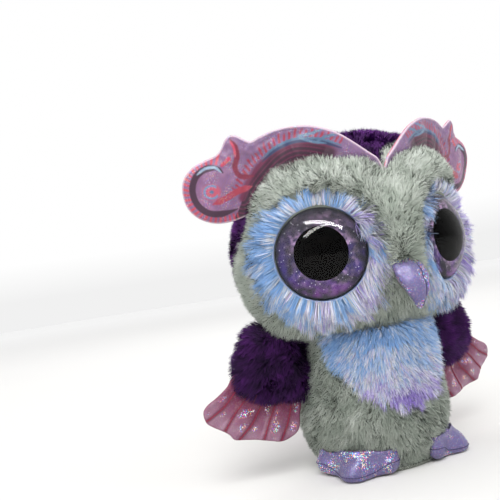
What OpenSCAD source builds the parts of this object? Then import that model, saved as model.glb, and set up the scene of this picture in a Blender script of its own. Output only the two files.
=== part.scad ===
// Interactive plush owl: soft body on a rigid sound box, big-eyed head on a swivel joint.
// Origin on the table under the body's centre, +Z up, the face looks towards -Y, units mm.
// "Left" is the owl's own left, which is +X.

/* [Head] */
// Height of the head's centre above the table
head_z = 134.5; // [133:0.5:138]
// Distance of the head's centre behind (+) or in front (-) of the body's axis
head_y = -2; // [-3:0.5:0]
// Radius of the head's round section, seen from the side
head_r = 60; // [59:0.5:61]
// Half of the head's width, ear side to ear side
head_l = 70; // [69:0.5:72]

/* [Eyes] */
// Radius of the clear dome
eye_r = 25; // [23:0.5:25.5]
// Height of the clear dome
eye_dome = 11; // [8:0.5:13]
// Radius of the black pupil
pupil_r = 14.2; // [12:0.1:16]
// Radius of the long-pile patch round each eye
patch_r = 34; // [32:0.5:34.5]
// Place of the dome's rim centre, to the side
eye_x = 40.9; // [40:0.1:42]
// Place of the dome's rim centre, forwards is negative
eye_y = -40.1; // [-41:0.1:-39]
// Height of the dome's rim centre
eye_z = 127; // [125:0.5:129]
// Outward turn of each eye, in degrees
eye_yaw = 28.5; // [27:0.5:30]

/* [Horns] */
// Thickness of one horn, both panels together
horn_t = 4; // [3:0.5:5]
// Sideways sweep of the horn's plane, in degrees
horn_sweep = 27.6; // [26:0.2:29]
// Forward lean of the horn's plane, in degrees
horn_lean = 15; // [12:0.5:18]

/* [Body] */
// Radius of the body at its widest
body_r = 41.3; // [41:0.1:42]
// Radius of the flat panel that the toy stands on
base_r = 36; // [35.6:0.1:37]
// Thickness of the plush fabric
skin_t = 2; // [1.5:0.1:2.2]
// Gap between the head's underside and the body's top
neck_gap = 0.6; // [0.4:0.1:1]

/* [Wings, feet and tail] */
// Distance of the wing's seam from the body's axis
wing_x = 42; // [42:0.1:43]
// Backward sweep of the wing at rest, in degrees
wing_sweep = 12; // [8:1:16]
// Outward turn of each foot, in degrees
foot_yaw = 50; // [48:1:56]
// Thickness of a foot
foot_t = 15; // [12:0.5:15.5]
// Turn of the tail towards the owl's left at rest, in degrees
tail_turn = 45; // [30:1:60]
// Thickness of the tail, both panels together
tail_t = 5; // [4:0.5:6]

/* [Sound box] */
// Outer radius of the round case
box_r = 31; // [30.8:0.1:31.2]
// Height of the top of the case
box_top = 36; // [35:0.5:37]
// Wall thickness of the case
wall = 2; // [1.6:0.1:2]
// Diameter of an AAA cell
cell_d = 10.5; // [10.3:0.1:10.5]
// Length of an AAA cell
cell_len = 44.5; // [44:0.1:44.5]
// Travel of the squeeze button
button_travel = 2.5; // [1.5:0.1:2.5]

/* [Hidden] */
$fn = 72;
hull_fn = 24;
eps = 0.05;
clear = 0.3;

// head and body revolve profiles
head_step = 10;
dish_steps = 9;
side_points = [[base_r, 1.6], [39.6, 8], [body_r, 24], [body_r - 0.7, 42], [38.4, 62], [36.2, 76]];
rim_r = 35.6;

// the hairline: grey face in front, purple hood behind
hair_y = 8;
hair_front_y = -46;
hair_z = 134;

// eye stack, along the eye's own axis from the dome's rim plane
post_flange_t = 3.2;
post_r = 3.5;
patch_floor = -6.2;
iris_t = 0.6;

// horn outline in its own plane: outwards, upwards
horn_root = [0, -52, 172];
horn_points = [[3, -8], [2.4, 1], [8, 7], [20, 17.5], [36, 25.5], [50, 27], [63, 25.2], [70.4, 22.6],
    [76, 25.6], [82, 27], [87.6, 21.5], [97, 16.2], [107, 12.5], [113.3, 1], [111, -10], [103, -18.5],
    [92, -20.5], [80, -18], [60, -14], [30, -12]];

// wing and feather outlines in the wing's plane: outwards, upwards
wing_points = [[1.4, 50], [1.4, 79], [14, 86], [27, 87.5], [34, 78], [40.5, 65], [34, 52.5], [18, 47], [6, 47]];
wing_plan = [[0, 2.6], [6, 5], [14, 7], [26, 7.4], [34, 6], [41, 2]];
feather_t = 1.4;
feather_points = [[9, 48], [8, 40], [7.5, 33], [9, 28], [14, 23], [21, 22.4], [30, 25], [38, 26.5],
    [46, 28.4], [54, 35.4], [61, 39.5], [63, 46.5], [56, 52.6], [47, 59], [40.5, 67], [30, 62], [18, 52]];

// foot toes in the foot's own frame: across, outwards, radius
toes = [[-16, 32, 8], [0, 44.5, 9.5], [17, 33, 8]];
foot_axis_y = 32;
foot_axis_z = 5;

// tail outline in its own plane: outwards from the root, upwards
tail_root = [3, 43.6, 31];
tail_points = [[2, -8], [1, 0], [2, 8.6], [7.7, 10.4], [11.4, 23], [18, 29], [22.5, 38], [28, 41.5],
    [39.6, 41], [48, 36], [56, 28], [63.6, 23], [66.8, 8], [69, -6.4], [66.5, -14.5], [61.4, -20],
    [61.2, -27.6], [52, -28.5], [35.4, -25.8], [17.3, -18.6]];

// neck swivel
neck_disc_r = 20;
neck_disc_t = 2.4;
neck_bolt_r = 3;
neck_low = 69.3;
neck_high = 80.8;
neck_pin_top = 86.5;

// sound box levels, upwards from the table
box_z = 0;
floor_top = box_z + wall;
split_z = 24;
bay_l = 25;
bay_w = 11.2;
bay_top = 14.5;
board_z = 18.2;
board_t = 1.6;
door_l = 26.8;
door_w = 13;
door_t = 1.5;
door_tab_l = 29.6;
door_tab_w = 3.2;
door_screw_x = 27.6;
hinge_x = -26.1;
hinge_z = 0.85;
hinge_pin_r = 0.5;
switch_y = 20;
knob_travel = 3;
ear_r = 33.4;
ear_angles = [30, 150, 270];
screw_r = 1.2;
speaker_r = 18;

// squeeze button unit, lying on its side behind the bib
press_z = 57;
press_y = -21;
press_r = 13;
spring_turns = 5;
spring_r = 3.2;
spring_wire = 0.35;
lead_r = 0.6;
lead_route = [[0, -20.7, 52], [0, -17, 51], [2, -14, 46], [8, -15, 41], [11, -16, 38], [11, -16, 36.1]];

// ---- curves ----

// one point of a Catmull-Rom curve between b and c
function curve(a, b, c, d, t) =
    0.5 * (2 * b + (c - a) * t + (2 * a - 5 * b + 4 * c - d) * t * t + (3 * b - a - 3 * c + d) * t * t * t);

// a closed smooth loop through the points, n steps between each pair
function loop(p, n) = [for (i = [0:len(p) - 1]) for (k = [0:n - 1])
    curve(p[(i + len(p) - 1) % len(p)], p[i], p[(i + 1) % len(p)], p[(i + 2) % len(p)], k / n)];

// an open smooth line through the points
function line(p, n) = concat([for (i = [0:len(p) - 2]) for (k = [0:n - 1])
    curve(p[max(i - 1, 0)], p[i], p[i + 1], p[min(i + 2, len(p) - 1)], k / n)], [p[len(p) - 1]]);

// height of the head's underside, less the neck gap, at a distance from the body's axis
function dish_z(r) = head_z - head_r * sqrt(1 - pow(r / head_l, 2)) - neck_gap;

function unit(v) = v / norm(v);

// a round tube swept along a list of points that never run along the side direction
module tube(p, r, sides, side) {
    dirs = [for (i = [0:len(p) - 1]) unit(p[min(i + 1, len(p) - 1)] - p[max(i - 1, 0)])];
    ups = [for (d = dirs) unit(cross(d, side))];
    points = [for (i = [0:len(p) - 1]) for (k = [0:sides - 1])
        p[i] + r * (ups[i] * cos(360 * k / sides) + cross(dirs[i], ups[i]) * sin(360 * k / sides))];
    last = (len(p) - 1) * sides;
    rings = [for (i = [0:len(p) - 2]) for (k = [0:sides - 1])
        [i * sides + k, i * sides + (k + 1) % sides, (i + 1) * sides + (k + 1) % sides, (i + 1) * sides + k]];
    caps = [[for (k = [0:sides - 1]) sides - 1 - k], [for (k = [0:sides - 1]) last + k]];
    polyhedron(points, concat(rings, caps));
}

// ---- shared shapes ----

// the head's outer form, made bigger by grow: a solid of revolution about the left-right axis
module head_form(grow) {
    r = head_r + grow;
    l = head_l + grow;
    translate([0, head_y, head_z])
        rotate([0, 90, 0])
            rotate_extrude()
                polygon([for (a = [-90:head_step:90]) [r * cos(a), l * sin(a)]]);
}

// everything behind the hairline
module hood_region() {
    far = 120;
    translate([-far, hair_y, 0])
        cube([2 * far, far, 2 * far]);
    translate([0, 0, hair_z])
        linear_extrude(far)
            polygon([[0, hair_front_y], [far, hair_front_y + far * tan(horn_sweep)],
                [far, far], [-far, far], [-far, hair_front_y + far * tan(horn_sweep)]]);
}

module at_left_eye() {
    translate([eye_x, eye_y, eye_z])
        rotate([90, 0, eye_yaw])
            children();
}

// mirrors a left-hand piece to the right
module right() {
    mirror([1, 0, 0])
        children();
}

// room for both eye patches in the head
module eye_pockets(r) {
    depth = 30;
    for (m = [0, 1])
        mirror([m, 0, 0])
            at_left_eye()
                translate([0, 0, patch_floor - 0.2])
                    cylinder(r = r, h = depth);
}

// a round hole for the neck's bolt
module neck_hole(r) {
    translate([0, 0, neck_low - 10])
        cylinder(r = r, h = 40);
}

// ---- head ----

module face_skin() {
    color("#9da297")
        difference() {
            head_form(0);
            head_form(-skin_t);
            hood_region();
            eye_pockets(patch_r + 0.2);
            neck_hole(neck_bolt_r + clear);
        }
}

module head_hood() {
    color("#4a1a68")
        difference() {
            intersection() {
                head_form(0);
                hood_region();
            }
            head_form(-skin_t);
        }
}

module head_stuffing() {
    color("white")
        difference() {
            head_form(-skin_t - eps);
            eye_pockets(patch_r + 0.2);
            for (m = [0, 1])
                mirror([m, 0, 0])
                    at_left_eye()
                        translate([0, 0, -19])
                            cylinder(r = 11.5, h = 16);
            translate([0, 0, neck_low])
                cylinder(r = neck_disc_r + 0.5, h = neck_pin_top + 2 - neck_low);
        }
}

module beak() {
    color("#a394c9")
        difference() {
            hull() {
                translate([0, -57, 109.5])
                    sphere(8.6, $fn = hull_fn);
                translate([0, -61.5, 102])
                    sphere(6.6, $fn = hull_fn);
                translate([0, -64, 94])
                    sphere(3, $fn = hull_fn);
            }
            head_form(eps);
        }
}

// the round of long-pile fabric that the eye sits on, with a skirt down to the face
module eye_patch_left() {
    skirt = 12;
    color("#9fb4e0")
        difference() {
            union() {
                at_left_eye()
                    translate([0, 0, patch_floor])
                        cylinder(r = patch_r, h = -patch_floor);
                difference() {
                    at_left_eye()
                        translate([0, 0, patch_floor - skirt])
                            cylinder(r = patch_r, h = skirt);
                    at_left_eye()
                        translate([0, 0, patch_floor - skirt - 1])
                            cylinder(r = patch_r - 3, h = skirt + 1);
                    head_form(eps);
                }
            }
            at_left_eye()
                translate([0, 0, patch_floor + wall])
                    cylinder(r = eye_r + 0.3, h = 20);
            at_left_eye()
                translate([0, 0, patch_floor - 1])
                    cylinder(r = post_r + eps, h = 5);
        }
}

// a cap of a sphere with the given rim radius and height, standing on z = 0
module dome(rim, height) {
    big = (rim * rim + height * height) / (2 * height);
    intersection() {
        translate([0, 0, height - big])
            sphere(big, $fn = 180);
        cylinder(r = rim, h = height + 1);
    }
}

module eye_lens_left() {
    color("#dfe8f2", 0.4)
        at_left_eye()
            difference() {
                dome(eye_r, eye_dome);
                translate([0, 0, -eps])
                    dome(pupil_r + 0.1, 3.7);
            }
}

module pupil_left() {
    color("black")
        at_left_eye()
            dome(pupil_r, 3.5);
}

module iris_left() {
    color("#5d3f78")
        at_left_eye()
            translate([0, 0, -iris_t - 0.1])
                cylinder(r = eye_r - 0.4, h = iris_t);
}

// the eye's plastic back with the stem that goes through the fabric
module eye_post_left() {
    stem = 12;
    top = -iris_t - 0.15;
    color("#202024")
        at_left_eye()
            union() {
                translate([0, 0, top - post_flange_t])
                    cylinder(r = eye_r, h = post_flange_t);
                translate([0, 0, top - post_flange_t - stem])
                    cylinder(r = post_r, h = stem + 1);
            }
}

module eye_washer_left() {
    color("#e8e8e8")
        at_left_eye()
            translate([0, 0, patch_floor - 2.4])
                difference() {
                    cylinder(r = 11, h = 2.2);
                    translate([0, 0, -1])
                        cylinder(r = post_r + 0.05, h = 5);
                }
}

// the horn's outline, standing in its own leaning plane, between two depths of its thickness
module horn_panel_left(from, to) {
    difference() {
        translate(horn_root)
            rotate([90 + horn_lean, 0, horn_sweep])
                translate([0, 0, from])
                    linear_extrude(to - from)
                        polygon(loop(horn_points, 3));
        head_form(eps);
    }
}

module horn_front_left() {
    color("#b58ab8")
        horn_panel_left(0, horn_t / 2);
}

module horn_back_left() {
    color("#e8789a")
        horn_panel_left(-horn_t / 2, -eps);
}

// ---- body ----

// the body's outline from the base up its side and over the dished top, inset by a thickness
function body_profile(inset) = concat(
    [[0, side_points[0][1] + inset]],
    [for (p = line(side_points, 3)) [p[0] - inset, max(p[1], side_points[0][1] + inset)]],
    [for (k = [0:dish_steps]) let (r = (rim_r - inset) * (1 - k / dish_steps)) [r, dish_z(r) - inset]]);

module body_skin() {
    color("#9da297")
        difference() {
            rotate_extrude()
                difference() {
                    polygon(body_profile(0));
                    polygon(body_profile(skin_t));
                }
            cylinder(r = box_r + clear, h = 10);
            neck_hole(neck_bolt_r + eps);
        }
}

module base_panel() {
    color("#7d8078")
        difference() {
            cylinder(r = base_r, h = side_points[0][1] - eps);
            translate([0, 0, -1])
                cylinder(r = box_r + clear, h = 10);
        }
}

// the long-pile bib, wrapped round the front of the body
module belly_patch() {
    half = 62;
    low = 34;
    high = 78;
    thick = 2;
    steps = 6;
    function at(z) = lookup(z, line(side_points, 3) * [[0, 1], [1, 0]]);
    zs = [for (k = [0:steps]) low + (high - low) * k / steps];
    color("#a9b6e6")
        rotate([0, 0, -90 - half])
            rotate_extrude(angle = 2 * half)
                polygon(concat([for (z = zs) [at(z) + eps, z]],
                    [for (k = [steps:-1:0]) [at(zs[k]) + thick * min(1, 0.3 + k), zs[k]]]));
}

module body_stuffing() {
    color("white")
        difference() {
            rotate_extrude()
                polygon(body_profile(skin_t + eps));
            cylinder(r = ear_r + 3.6, h = box_top + 0.3);
            translate([0, 0, neck_low - 4])
                cylinder(r = neck_disc_r + 0.3, h = 12);
            translate([0, press_y + 0.3, press_z])
                rotate([90, 0, 0])
                    cylinder(r = press_r + 0.3, h = 14.5);
            translate([-3, -22, box_top - 1])
                cube([17, 9, 22]);
        }
}

// a wing's stuffed part, without its fur: its outline, as thick as its plan
module wing_core() {
    intersection() {
        translate([0, 10, 0])
            rotate([90, 0, 0])
                linear_extrude(20)
                    polygon(loop(wing_points, 3));
        linear_extrude(100)
            polygon(concat(line(wing_plan, 3),
                [for (k = [len(wing_plan) - 1:-1:0]) [wing_plan[k][0], -wing_plan[k][1]]]));
    }
}

module at_left_wing() {
    translate([wing_x, -1, 0])
        rotate([0, 0, wing_sweep])
            children();
}

module wing_left() {
    color("#4a1a68")
        at_left_wing()
            wing_core();
}

module wing_feathers_left() {
    color("#b0457d")
        at_left_wing()
            difference() {
                translate([0, feather_t / 2, 0])
                    rotate([90, 0, 0])
                        linear_extrude(feather_t)
                            polygon(loop(feather_points, 2));
                wing_core();
            }
}

// a foot: a flat-soled pad with three round toes
module foot_left() {
    heel_y = 31;
    color("#9585c2")
        difference() {
            rotate([0, 0, foot_yaw])
                mirror([0, 1, 0])
                    union() {
                        for (t = toes)
                            translate([t[0], t[1], 0])
                                cylinder(r = t[2], h = foot_t);
                        linear_extrude(foot_t)
                            polygon([[-18, heel_y], [18, heel_y], [23, 38.5], [9, 47], [-9, 47], [-22, 37]]);
                    }
            foot_recess();
        }
}

// the space that the body takes above and behind the feet, with room for them to tip up
module foot_recess() {
    gap = 1.4;
    rotate_extrude()
        polygon([[0, -1], [base_r + gap, -1], [base_r + gap, 2.5], [40.4 + gap, 8],
            [body_r + gap + 3.8, 17], [0, 17]]);
}

// the tail's outline between two depths of its thickness
module tail_panel(from, to) {
    translate(tail_root)
        rotate([90, 0, 90 - tail_turn])
            translate([0, 0, from])
                linear_extrude(to - from)
                    polygon(loop(tail_points, 3));
}

module tail_print_panel() {
    color("#b483c0")
        tail_panel(-tail_t / 2, -eps);
}

module tail_back_panel() {
    color("#e8789a")
        tail_panel(0, tail_t / 2);
}

// ---- neck swivel ----

module disc(z, r, h, bore) {
    translate([0, 0, z])
        difference() {
            cylinder(r = r, h = h);
            translate([0, 0, -1])
                cylinder(r = bore, h = h + 2);
        }
}

module neck_disc_lower() {
    color("#d9cfa8")
        disc(neck_low, neck_disc_r, neck_disc_t, neck_bolt_r + 0.02);
}

module neck_disc_upper() {
    color("#d9cfa8")
        disc(neck_high, neck_disc_r - 1, neck_disc_t, neck_bolt_r + 0.05);
}

module neck_bolt() {
    color("silver")
        union() {
            translate([0, 0, neck_low - 2.6])
                cylinder(r = 6, h = 2.5);
            translate([0, 0, neck_low - 1])
                cylinder(r = neck_bolt_r, h = neck_pin_top - neck_low + 1);
        }
}

module neck_lock_nut() {
    color("silver")
        disc(neck_high + neck_disc_t + 0.1, 5, 3, neck_bolt_r + 0.02);
}

// ---- sound box ----

module ears(z, h, bore) {
    for (a = ear_angles)
        rotate([0, 0, a])
            translate([ear_r - 0.4, 0, z])
                difference() {
                    union() {
                        cylinder(r = 3, h = h);
                        translate([-3, -3, 0])
                            cube([3, 6, h]);
                    }
                    translate([0, 0, -1])
                        cylinder(r = bore, h = h + 2);
                }
}

module sound_box_base() {
    post_top = board_z - eps;
    color("#e6e2d8")
        difference() {
            union() {
                difference() {
                    translate([0, 0, box_z])
                        cylinder(r = box_r, h = split_z - box_z - eps);
                    translate([0, 0, floor_top])
                        cylinder(r = box_r - wall, h = split_z);
                }
                intersection() {
                    translate([-bay_l - 1.5, -bay_w - 1.5, box_z])
                        cube([2 * bay_l + 3, 2 * bay_w + 3, bay_top + 1.5 - box_z]);
                    translate([0, 0, box_z])
                        cylinder(r = box_r - 1, h = split_z);
                }
                for (a = [-90, 35, 145])
                    rotate([0, 0, a])
                        translate([24.5, 0, box_z])
                            cylinder(r = 2.5, h = post_top - box_z);
                translate([door_screw_x, 0, box_z])
                    cylinder(r = 2.6, h = 8);
                ears(split_z - 5, 5 - eps, 0.9);
            }
            translate([-bay_l, -bay_w, -1])
                cube([2 * bay_l, 2 * bay_w, bay_top + 1]);
            // recess for the door and its tab
            translate([-door_l - 0.2, -door_w - 0.2, -1])
                cube([2 * door_l + 0.4, 2 * door_w + 0.4, 1 + door_t + 0.4]);
            translate([0, -door_tab_w - 0.2, -1])
                cube([door_tab_l + 0.3, 2 * door_tab_w + 0.4, 1 + door_t + 0.4]);
            // bores for the door's hinge pins
            translate([hinge_x, 15, hinge_z])
                rotate([90, 0, 0])
                    cylinder(r = hinge_pin_r + 0.05, h = 30);
            // screw hole, power switch slot and recess
            translate([door_screw_x, 0, -1])
                cylinder(r = 1.4, h = 7);
            translate([-knob_travel - 2, switch_y - 1.1, -1])
                cube([2 * knob_travel + 4, 2.2, 6]);
            translate([-knob_travel - 3.2, switch_y - 2.2, -1])
                cube([2 * knob_travel + 6.4, 4.4, 2.4]);
        }
}

module sound_box_lid() {
    grille_r = 1.3;
    color("#e6e2d8")
        difference() {
            union() {
                difference() {
                    translate([0, 0, split_z])
                        cylinder(r = box_r, h = box_top - split_z);
                    translate([0, 0, split_z - 1])
                        cylinder(r = box_r - wall, h = box_top - split_z + 1 - wall);
                }
                translate([0, 0, box_top - wall - 4])
                    difference() {
                        cylinder(r = speaker_r + 1.8, h = 4 + eps);
                        translate([0, 0, -1])
                            cylinder(r = speaker_r + 0.2, h = 6);
                    }
                ears(split_z, 3, screw_r + 0.2);
            }
            // sound holes: a middle one and two rings
            translate([0, 0, box_top - 5])
                cylinder(r = grille_r, h = 10);
            for (ring = [1, 2])
                for (k = [0:6 * ring - 1])
                    rotate([0, 0, 60 * k / ring])
                        translate([5 * ring, 0, box_top - 5])
                            cylinder(r = grille_r, h = 10);
            // entry for the squeeze button's leads
            translate([lead_route[5][0] + 0.8, lead_route[5][1], box_top - 5])
                cylinder(r = 1.3, h = 10);
        }
}

module sound_box_screws() {
    color("silver")
        for (a = ear_angles)
            rotate([0, 0, a])
                translate([ear_r - 0.4, 0, 0])
                    union() {
                        translate([0, 0, split_z - 4])
                            cylinder(r = 0.9 - 0.02, h = 7);
                        translate([0, 0, split_z + 3])
                            cylinder(r = 1.9, h = 1.4);
                    }
}

module circuit_board() {
    chip = 1.4;
    color("#2f7a45")
        translate([0, 0, board_z])
            union() {
                cylinder(r = box_r - wall - 0.5, h = board_t);
                translate([12, -6, board_t])
                    cube([9, 9, chip]);
                translate([-20, -4, board_t])
                    cube([6, 4, chip]);
                translate([-18, 6, board_t])
                    cube([4, 6, chip]);
            }
}

module speaker() {
    front = box_top - wall - 0.2;
    color("#3a3a3c")
        rotate_extrude()
            polygon([[0, front - 10.5], [8.5, front - 10.5], [8.5, front - 6], [16.5, front - 2.2],
                [speaker_r, front - 2.2], [speaker_r, front], [15.5, front], [13.5, front - 0.6],
                [5, front - 3.2], [0, front - 2.2]]);
}

// an AAA cell lying along X with its raised positive end
module cell(y, side) {
    nub = 0.8;
    translate([0, y, 3 + cell_d / 2])
        rotate([0, 90 * side, 0])
            union() {
                translate([0, 0, -cell_len / 2])
                    cylinder(r = cell_d / 2, h = cell_len - nub);
                translate([0, 0, cell_len / 2 - nub - eps])
                    cylinder(r = 1.9, h = nub + eps);
            }
}

module battery_front() {
    color("#b07a3c")
        cell(-bay_w / 2, 1);
}

module battery_rear() {
    color("#b07a3c")
        cell(bay_w / 2, -1);
}

// sprung and flat end plates of the battery bay
module battery_contacts() {
    plate = 0.5;
    foot = 1.6;
    color("silver")
        for (s = [-1, 1])
            for (y = [-1, 1])
                translate([s * (bay_l - plate / 2 - eps), y * bay_w / 2, 3 + cell_d / 2])
                    union() {
                        cube([plate, 8, 8], center = true);
                        translate([-s * (foot / 2 + plate / 2 - eps), 0, 0])
                            rotate([0, 90, 0])
                                cylinder(r = s * y > 0 ? 1.4 : 3, h = foot, center = true);
                    }
}

module battery_door() {
    color("#d8d4ca")
        difference() {
            union() {
                translate([hinge_x, -door_w, 0])
                    cube([door_l - hinge_x, 2 * door_w, door_t]);
                translate([door_l - 2, -door_tab_w, 0])
                    cube([door_tab_l - door_l + 2, 2 * door_tab_w, door_t]);
                translate([hinge_x, door_w, hinge_z])
                    rotate([90, 0, 0])
                        cylinder(r = 0.7, h = 2 * door_w);
                translate([hinge_x, door_w + 1.2, hinge_z])
                    rotate([90, 0, 0])
                        cylinder(r = hinge_pin_r, h = 2 * door_w + 2.4);
            }
            translate([door_screw_x, 0, -1])
                cylinder(r = 0.95, h = 5);
            translate([door_screw_x, 0, -1])
                cylinder(r = 1.9, h = 1.75);
        }
}

module battery_door_screw() {
    color("silver")
        translate([door_screw_x, 0, 0])
            union() {
                translate([0, 0, 0.15])
                    cylinder(r = 1.8, h = 0.55);
                translate([0, 0, 0.6])
                    cylinder(r = 0.93, h = 4);
            }
}

module power_switch_body() {
    color("#8d9094")
        difference() {
            translate([-8, switch_y - 3.2, floor_top + eps])
                cube([16, 6.4, 5]);
            translate([-knob_travel - 1.6, switch_y - 1.1, 0])
                cube([2 * knob_travel + 3.2, 2.2, floor_top + 2.6]);
        }
}

module power_switch_knob() {
    color("#303034")
        union() {
            translate([-3, switch_y - 1.9, 0.3])
                cube([6, 3.8, 1]);
            translate([-1.4, switch_y - 0.9, 1])
                cube([2.8, 1.8, 3.2]);
        }
}

// ---- squeeze button ----

module at_press() {
    translate([0, press_y, press_z])
        rotate([90, 0, 0])
            children();
}

module squeeze_case() {
    color("#e6e2d8")
        at_press()
            difference() {
                cylinder(r = press_r, h = 10.5);
                translate([0, 0, 2])
                    cylinder(r = press_r - 1.6, h = 7);
                translate([0, 0, 8])
                    cylinder(r = 9.3, h = 4);
                translate([0, -5, -1])
                    cylinder(r = 1.2, h = 4);
            }
}

module squeeze_button() {
    color("#d05c7a")
        at_press()
            union() {
                translate([0, 0, 7.2])
                    cylinder(r = press_r - 2, h = 1.6);
                translate([0, 0, 8])
                    cylinder(r = 9, h = 4);
                translate([0, 0, 12])
                    dome(9, 1.8);
            }
}

module squeeze_spring() {
    low = 3.7;
    high = 7.15 - spring_wire;
    steps = 10 * spring_turns;
    color("silver")
        at_press()
            tube([for (i = [0:steps]) [spring_r * cos(36 * i), spring_r * sin(36 * i),
                low + (high - low) * i / steps]], spring_wire - 0.02, 6, [0, 0, 1]);
}

module squeeze_board() {
    color("#2f7a45")
        at_press()
            translate([0, 0, 2.05])
                cylinder(r = press_r - 2, h = 1.2);
}

module squeeze_leads() {
    color("#c03030")
        for (s = [0, 1])
            translate([s * 1.6, 0, 0])
                tube(line(lead_route, 3), lead_r, 6, [1, 0, 0]);
}

body_skin();
belly_patch();
base_panel();
body_stuffing();
wing_left();
right() wing_left();  // wing_right
wing_feathers_left();
right() wing_feathers_left();  // wing_feathers_right
foot_left();
right() foot_left();  // foot_right
tail_print_panel();
tail_back_panel();
face_skin();
head_hood();
head_stuffing();
beak();
eye_patch_left();
right() eye_patch_left();  // eye_patch_right
eye_lens_left();
right() eye_lens_left();  // eye_lens_right
pupil_left();
right() pupil_left();  // pupil_right
iris_left();
right() iris_left();  // iris_right
eye_post_left();
right() eye_post_left();  // eye_post_right
eye_washer_left();
right() eye_washer_left();  // eye_washer_right
horn_front_left();
right() horn_front_left();  // horn_front_right
horn_back_left();
right() horn_back_left();  // horn_back_right
neck_disc_lower();
neck_disc_upper();
neck_bolt();
neck_lock_nut();
sound_box_base();
sound_box_lid();
sound_box_screws();
circuit_board();
speaker();
battery_front();
battery_rear();
battery_contacts();
battery_door();
battery_door_screw();
power_switch_body();
power_switch_knob();
squeeze_case();
squeeze_button();
squeeze_spring();
squeeze_board();
squeeze_leads();
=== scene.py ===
import math

import bmesh
import bpy
import numpy as np
from mathutils import Matrix, Vector, geometry, kdtree
from mathutils.bvhtree import BVHTree


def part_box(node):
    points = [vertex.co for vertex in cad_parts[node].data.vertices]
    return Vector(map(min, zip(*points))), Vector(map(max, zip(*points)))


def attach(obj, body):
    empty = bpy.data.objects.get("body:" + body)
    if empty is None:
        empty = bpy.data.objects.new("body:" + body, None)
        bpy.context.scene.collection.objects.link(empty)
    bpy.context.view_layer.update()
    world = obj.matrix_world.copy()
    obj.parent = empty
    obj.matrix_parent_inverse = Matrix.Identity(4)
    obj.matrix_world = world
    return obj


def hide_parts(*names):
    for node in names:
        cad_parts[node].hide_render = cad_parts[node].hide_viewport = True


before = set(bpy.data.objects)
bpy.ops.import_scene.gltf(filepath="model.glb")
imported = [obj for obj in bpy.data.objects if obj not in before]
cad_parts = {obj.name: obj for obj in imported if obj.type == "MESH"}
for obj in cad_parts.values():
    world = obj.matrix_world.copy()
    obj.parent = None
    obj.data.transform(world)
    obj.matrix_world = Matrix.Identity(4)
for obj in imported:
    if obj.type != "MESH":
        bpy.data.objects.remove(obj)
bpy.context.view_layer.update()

MM = 0.001
TURN = 2 * math.pi


# ---- places in mm, from the frame where it holds them ----

def corner(node, side):
    """A node's lowest (0) or highest (1) corner."""
    return np.array(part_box(node)[side]) / MM


def middle(node):
    """The middle of a node's box."""
    return (corner(node, 0) + corner(node, 1)) / 2


EYE_YAW = math.radians(28.5)  # how far each eye looks aside
EYE_AXIS = np.array([math.sin(EYE_YAW), -math.cos(EYE_YAW), 0.0])
EYE = middle("iris_left") + 0.4 * EYE_AXIS
EYE_R = 25.0
hood_top = corner("head_hood", 1)
face_low = corner("face_skin", 0)
HEAD_HALF = (hood_top[2] - face_low[2]) / 2
HEAD = np.array([0.0, hood_top[1] - HEAD_HALF, (hood_top[2] + face_low[2]) / 2])
HAIR_Y = 14.0  # the hairline beside the eyes
HAIR_FRONT_Y = -46.0  # the hairline's point between the horns
HORN_SWEEP = math.radians(27.6)  # how far a horn's panel turns back from straight across
HORN_LEAN = math.radians(15.0)
HORN_ROOT = np.array([0.0, -52.0, 172.0])
WING_ROOT = np.array([42.0, -1.0, 0.0])
WING_SWEEP = math.radians(12.0)
FOOT_YAW = math.radians(50.0)
FOOT_TIP = math.radians(14.0)  # the heel leans this far, to clear the body when the toes lift
TAIL_ROOT = np.array([3.0, 43.6, 31.0])
TAIL_TURN = math.radians(45.0)


# ---- numbers and curves ----

CURVE_STEPS = 8
MIRROR = np.array([-1.0, 1.0, 1.0])


def mirrored(v, side):
    """What is given for the owl's left, carried over to this side: 1 is left and -1 right."""
    return v if side > 0 else v * MIRROR


def unit(v):
    return v / np.maximum(np.linalg.norm(v, axis=-1, keepdims=True), 1e-9)


def tangent(v, normals):
    """The part of direction v that lies along the surface."""
    return v - np.sum(v * normals, axis=-1, keepdims=True) * normals


def ease(low, high, x):
    """0 at low and 1 at high, smooth between; high may be the smaller."""
    t = np.clip((x - low) / (high - low), 0, 1)
    return t * t * (3 - 2 * t)


def ripple(p, size, seed, waves=7):
    """Smooth noise of points, about -1 to 1, with lumps of about this size."""
    rng = np.random.default_rng(seed)
    total = np.zeros(len(p))
    for _ in range(waves):
        way = unit(rng.normal(size=p.shape[1]))
        pitch = size * rng.uniform(0.7, 1.5)
        total += np.sin(p @ way * TURN / pitch + rng.uniform(0, TURN))
    return total / math.sqrt(waves)


def smooth_loop(points, steps=CURVE_STEPS):
    """A closed Catmull-Rom curve through the points."""
    p = np.array(points, float)
    a, c, d = np.roll(p, 1, 0), np.roll(p, -1, 0), np.roll(p, -2, 0)
    t = (np.arange(steps) / steps)[None, :, None]
    return rom(a[:, None], p[:, None], c[:, None], d[:, None], t).reshape(-1, p.shape[1])


def smooth_line(points, steps=CURVE_STEPS):
    """An open Catmull-Rom curve through the points."""
    p = np.array(points, float)
    ends = np.vstack([p[:1], p, p[-1:]])
    t = (np.arange(steps) / steps)[None, :, None]
    parts = rom(ends[:-3, None], ends[1:-2, None], ends[2:-1, None], ends[3:, None], t)
    return np.vstack([parts.reshape(-1, p.shape[1]), p[-1:]])


def rom(a, b, c, d, t):
    """The Catmull-Rom curve from b to c."""
    return 0.5 * (2 * b + (c - a) * t + (2 * a - 5 * b + 4 * c - d) * t ** 2
                  + (3 * b - a - 3 * c + d) * t ** 3)


def run_along(curve):
    """How far along a curve each of its points is."""
    return np.concatenate([[0], np.cumsum(np.linalg.norm(np.diff(curve, axis=0), axis=1))])


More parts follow.
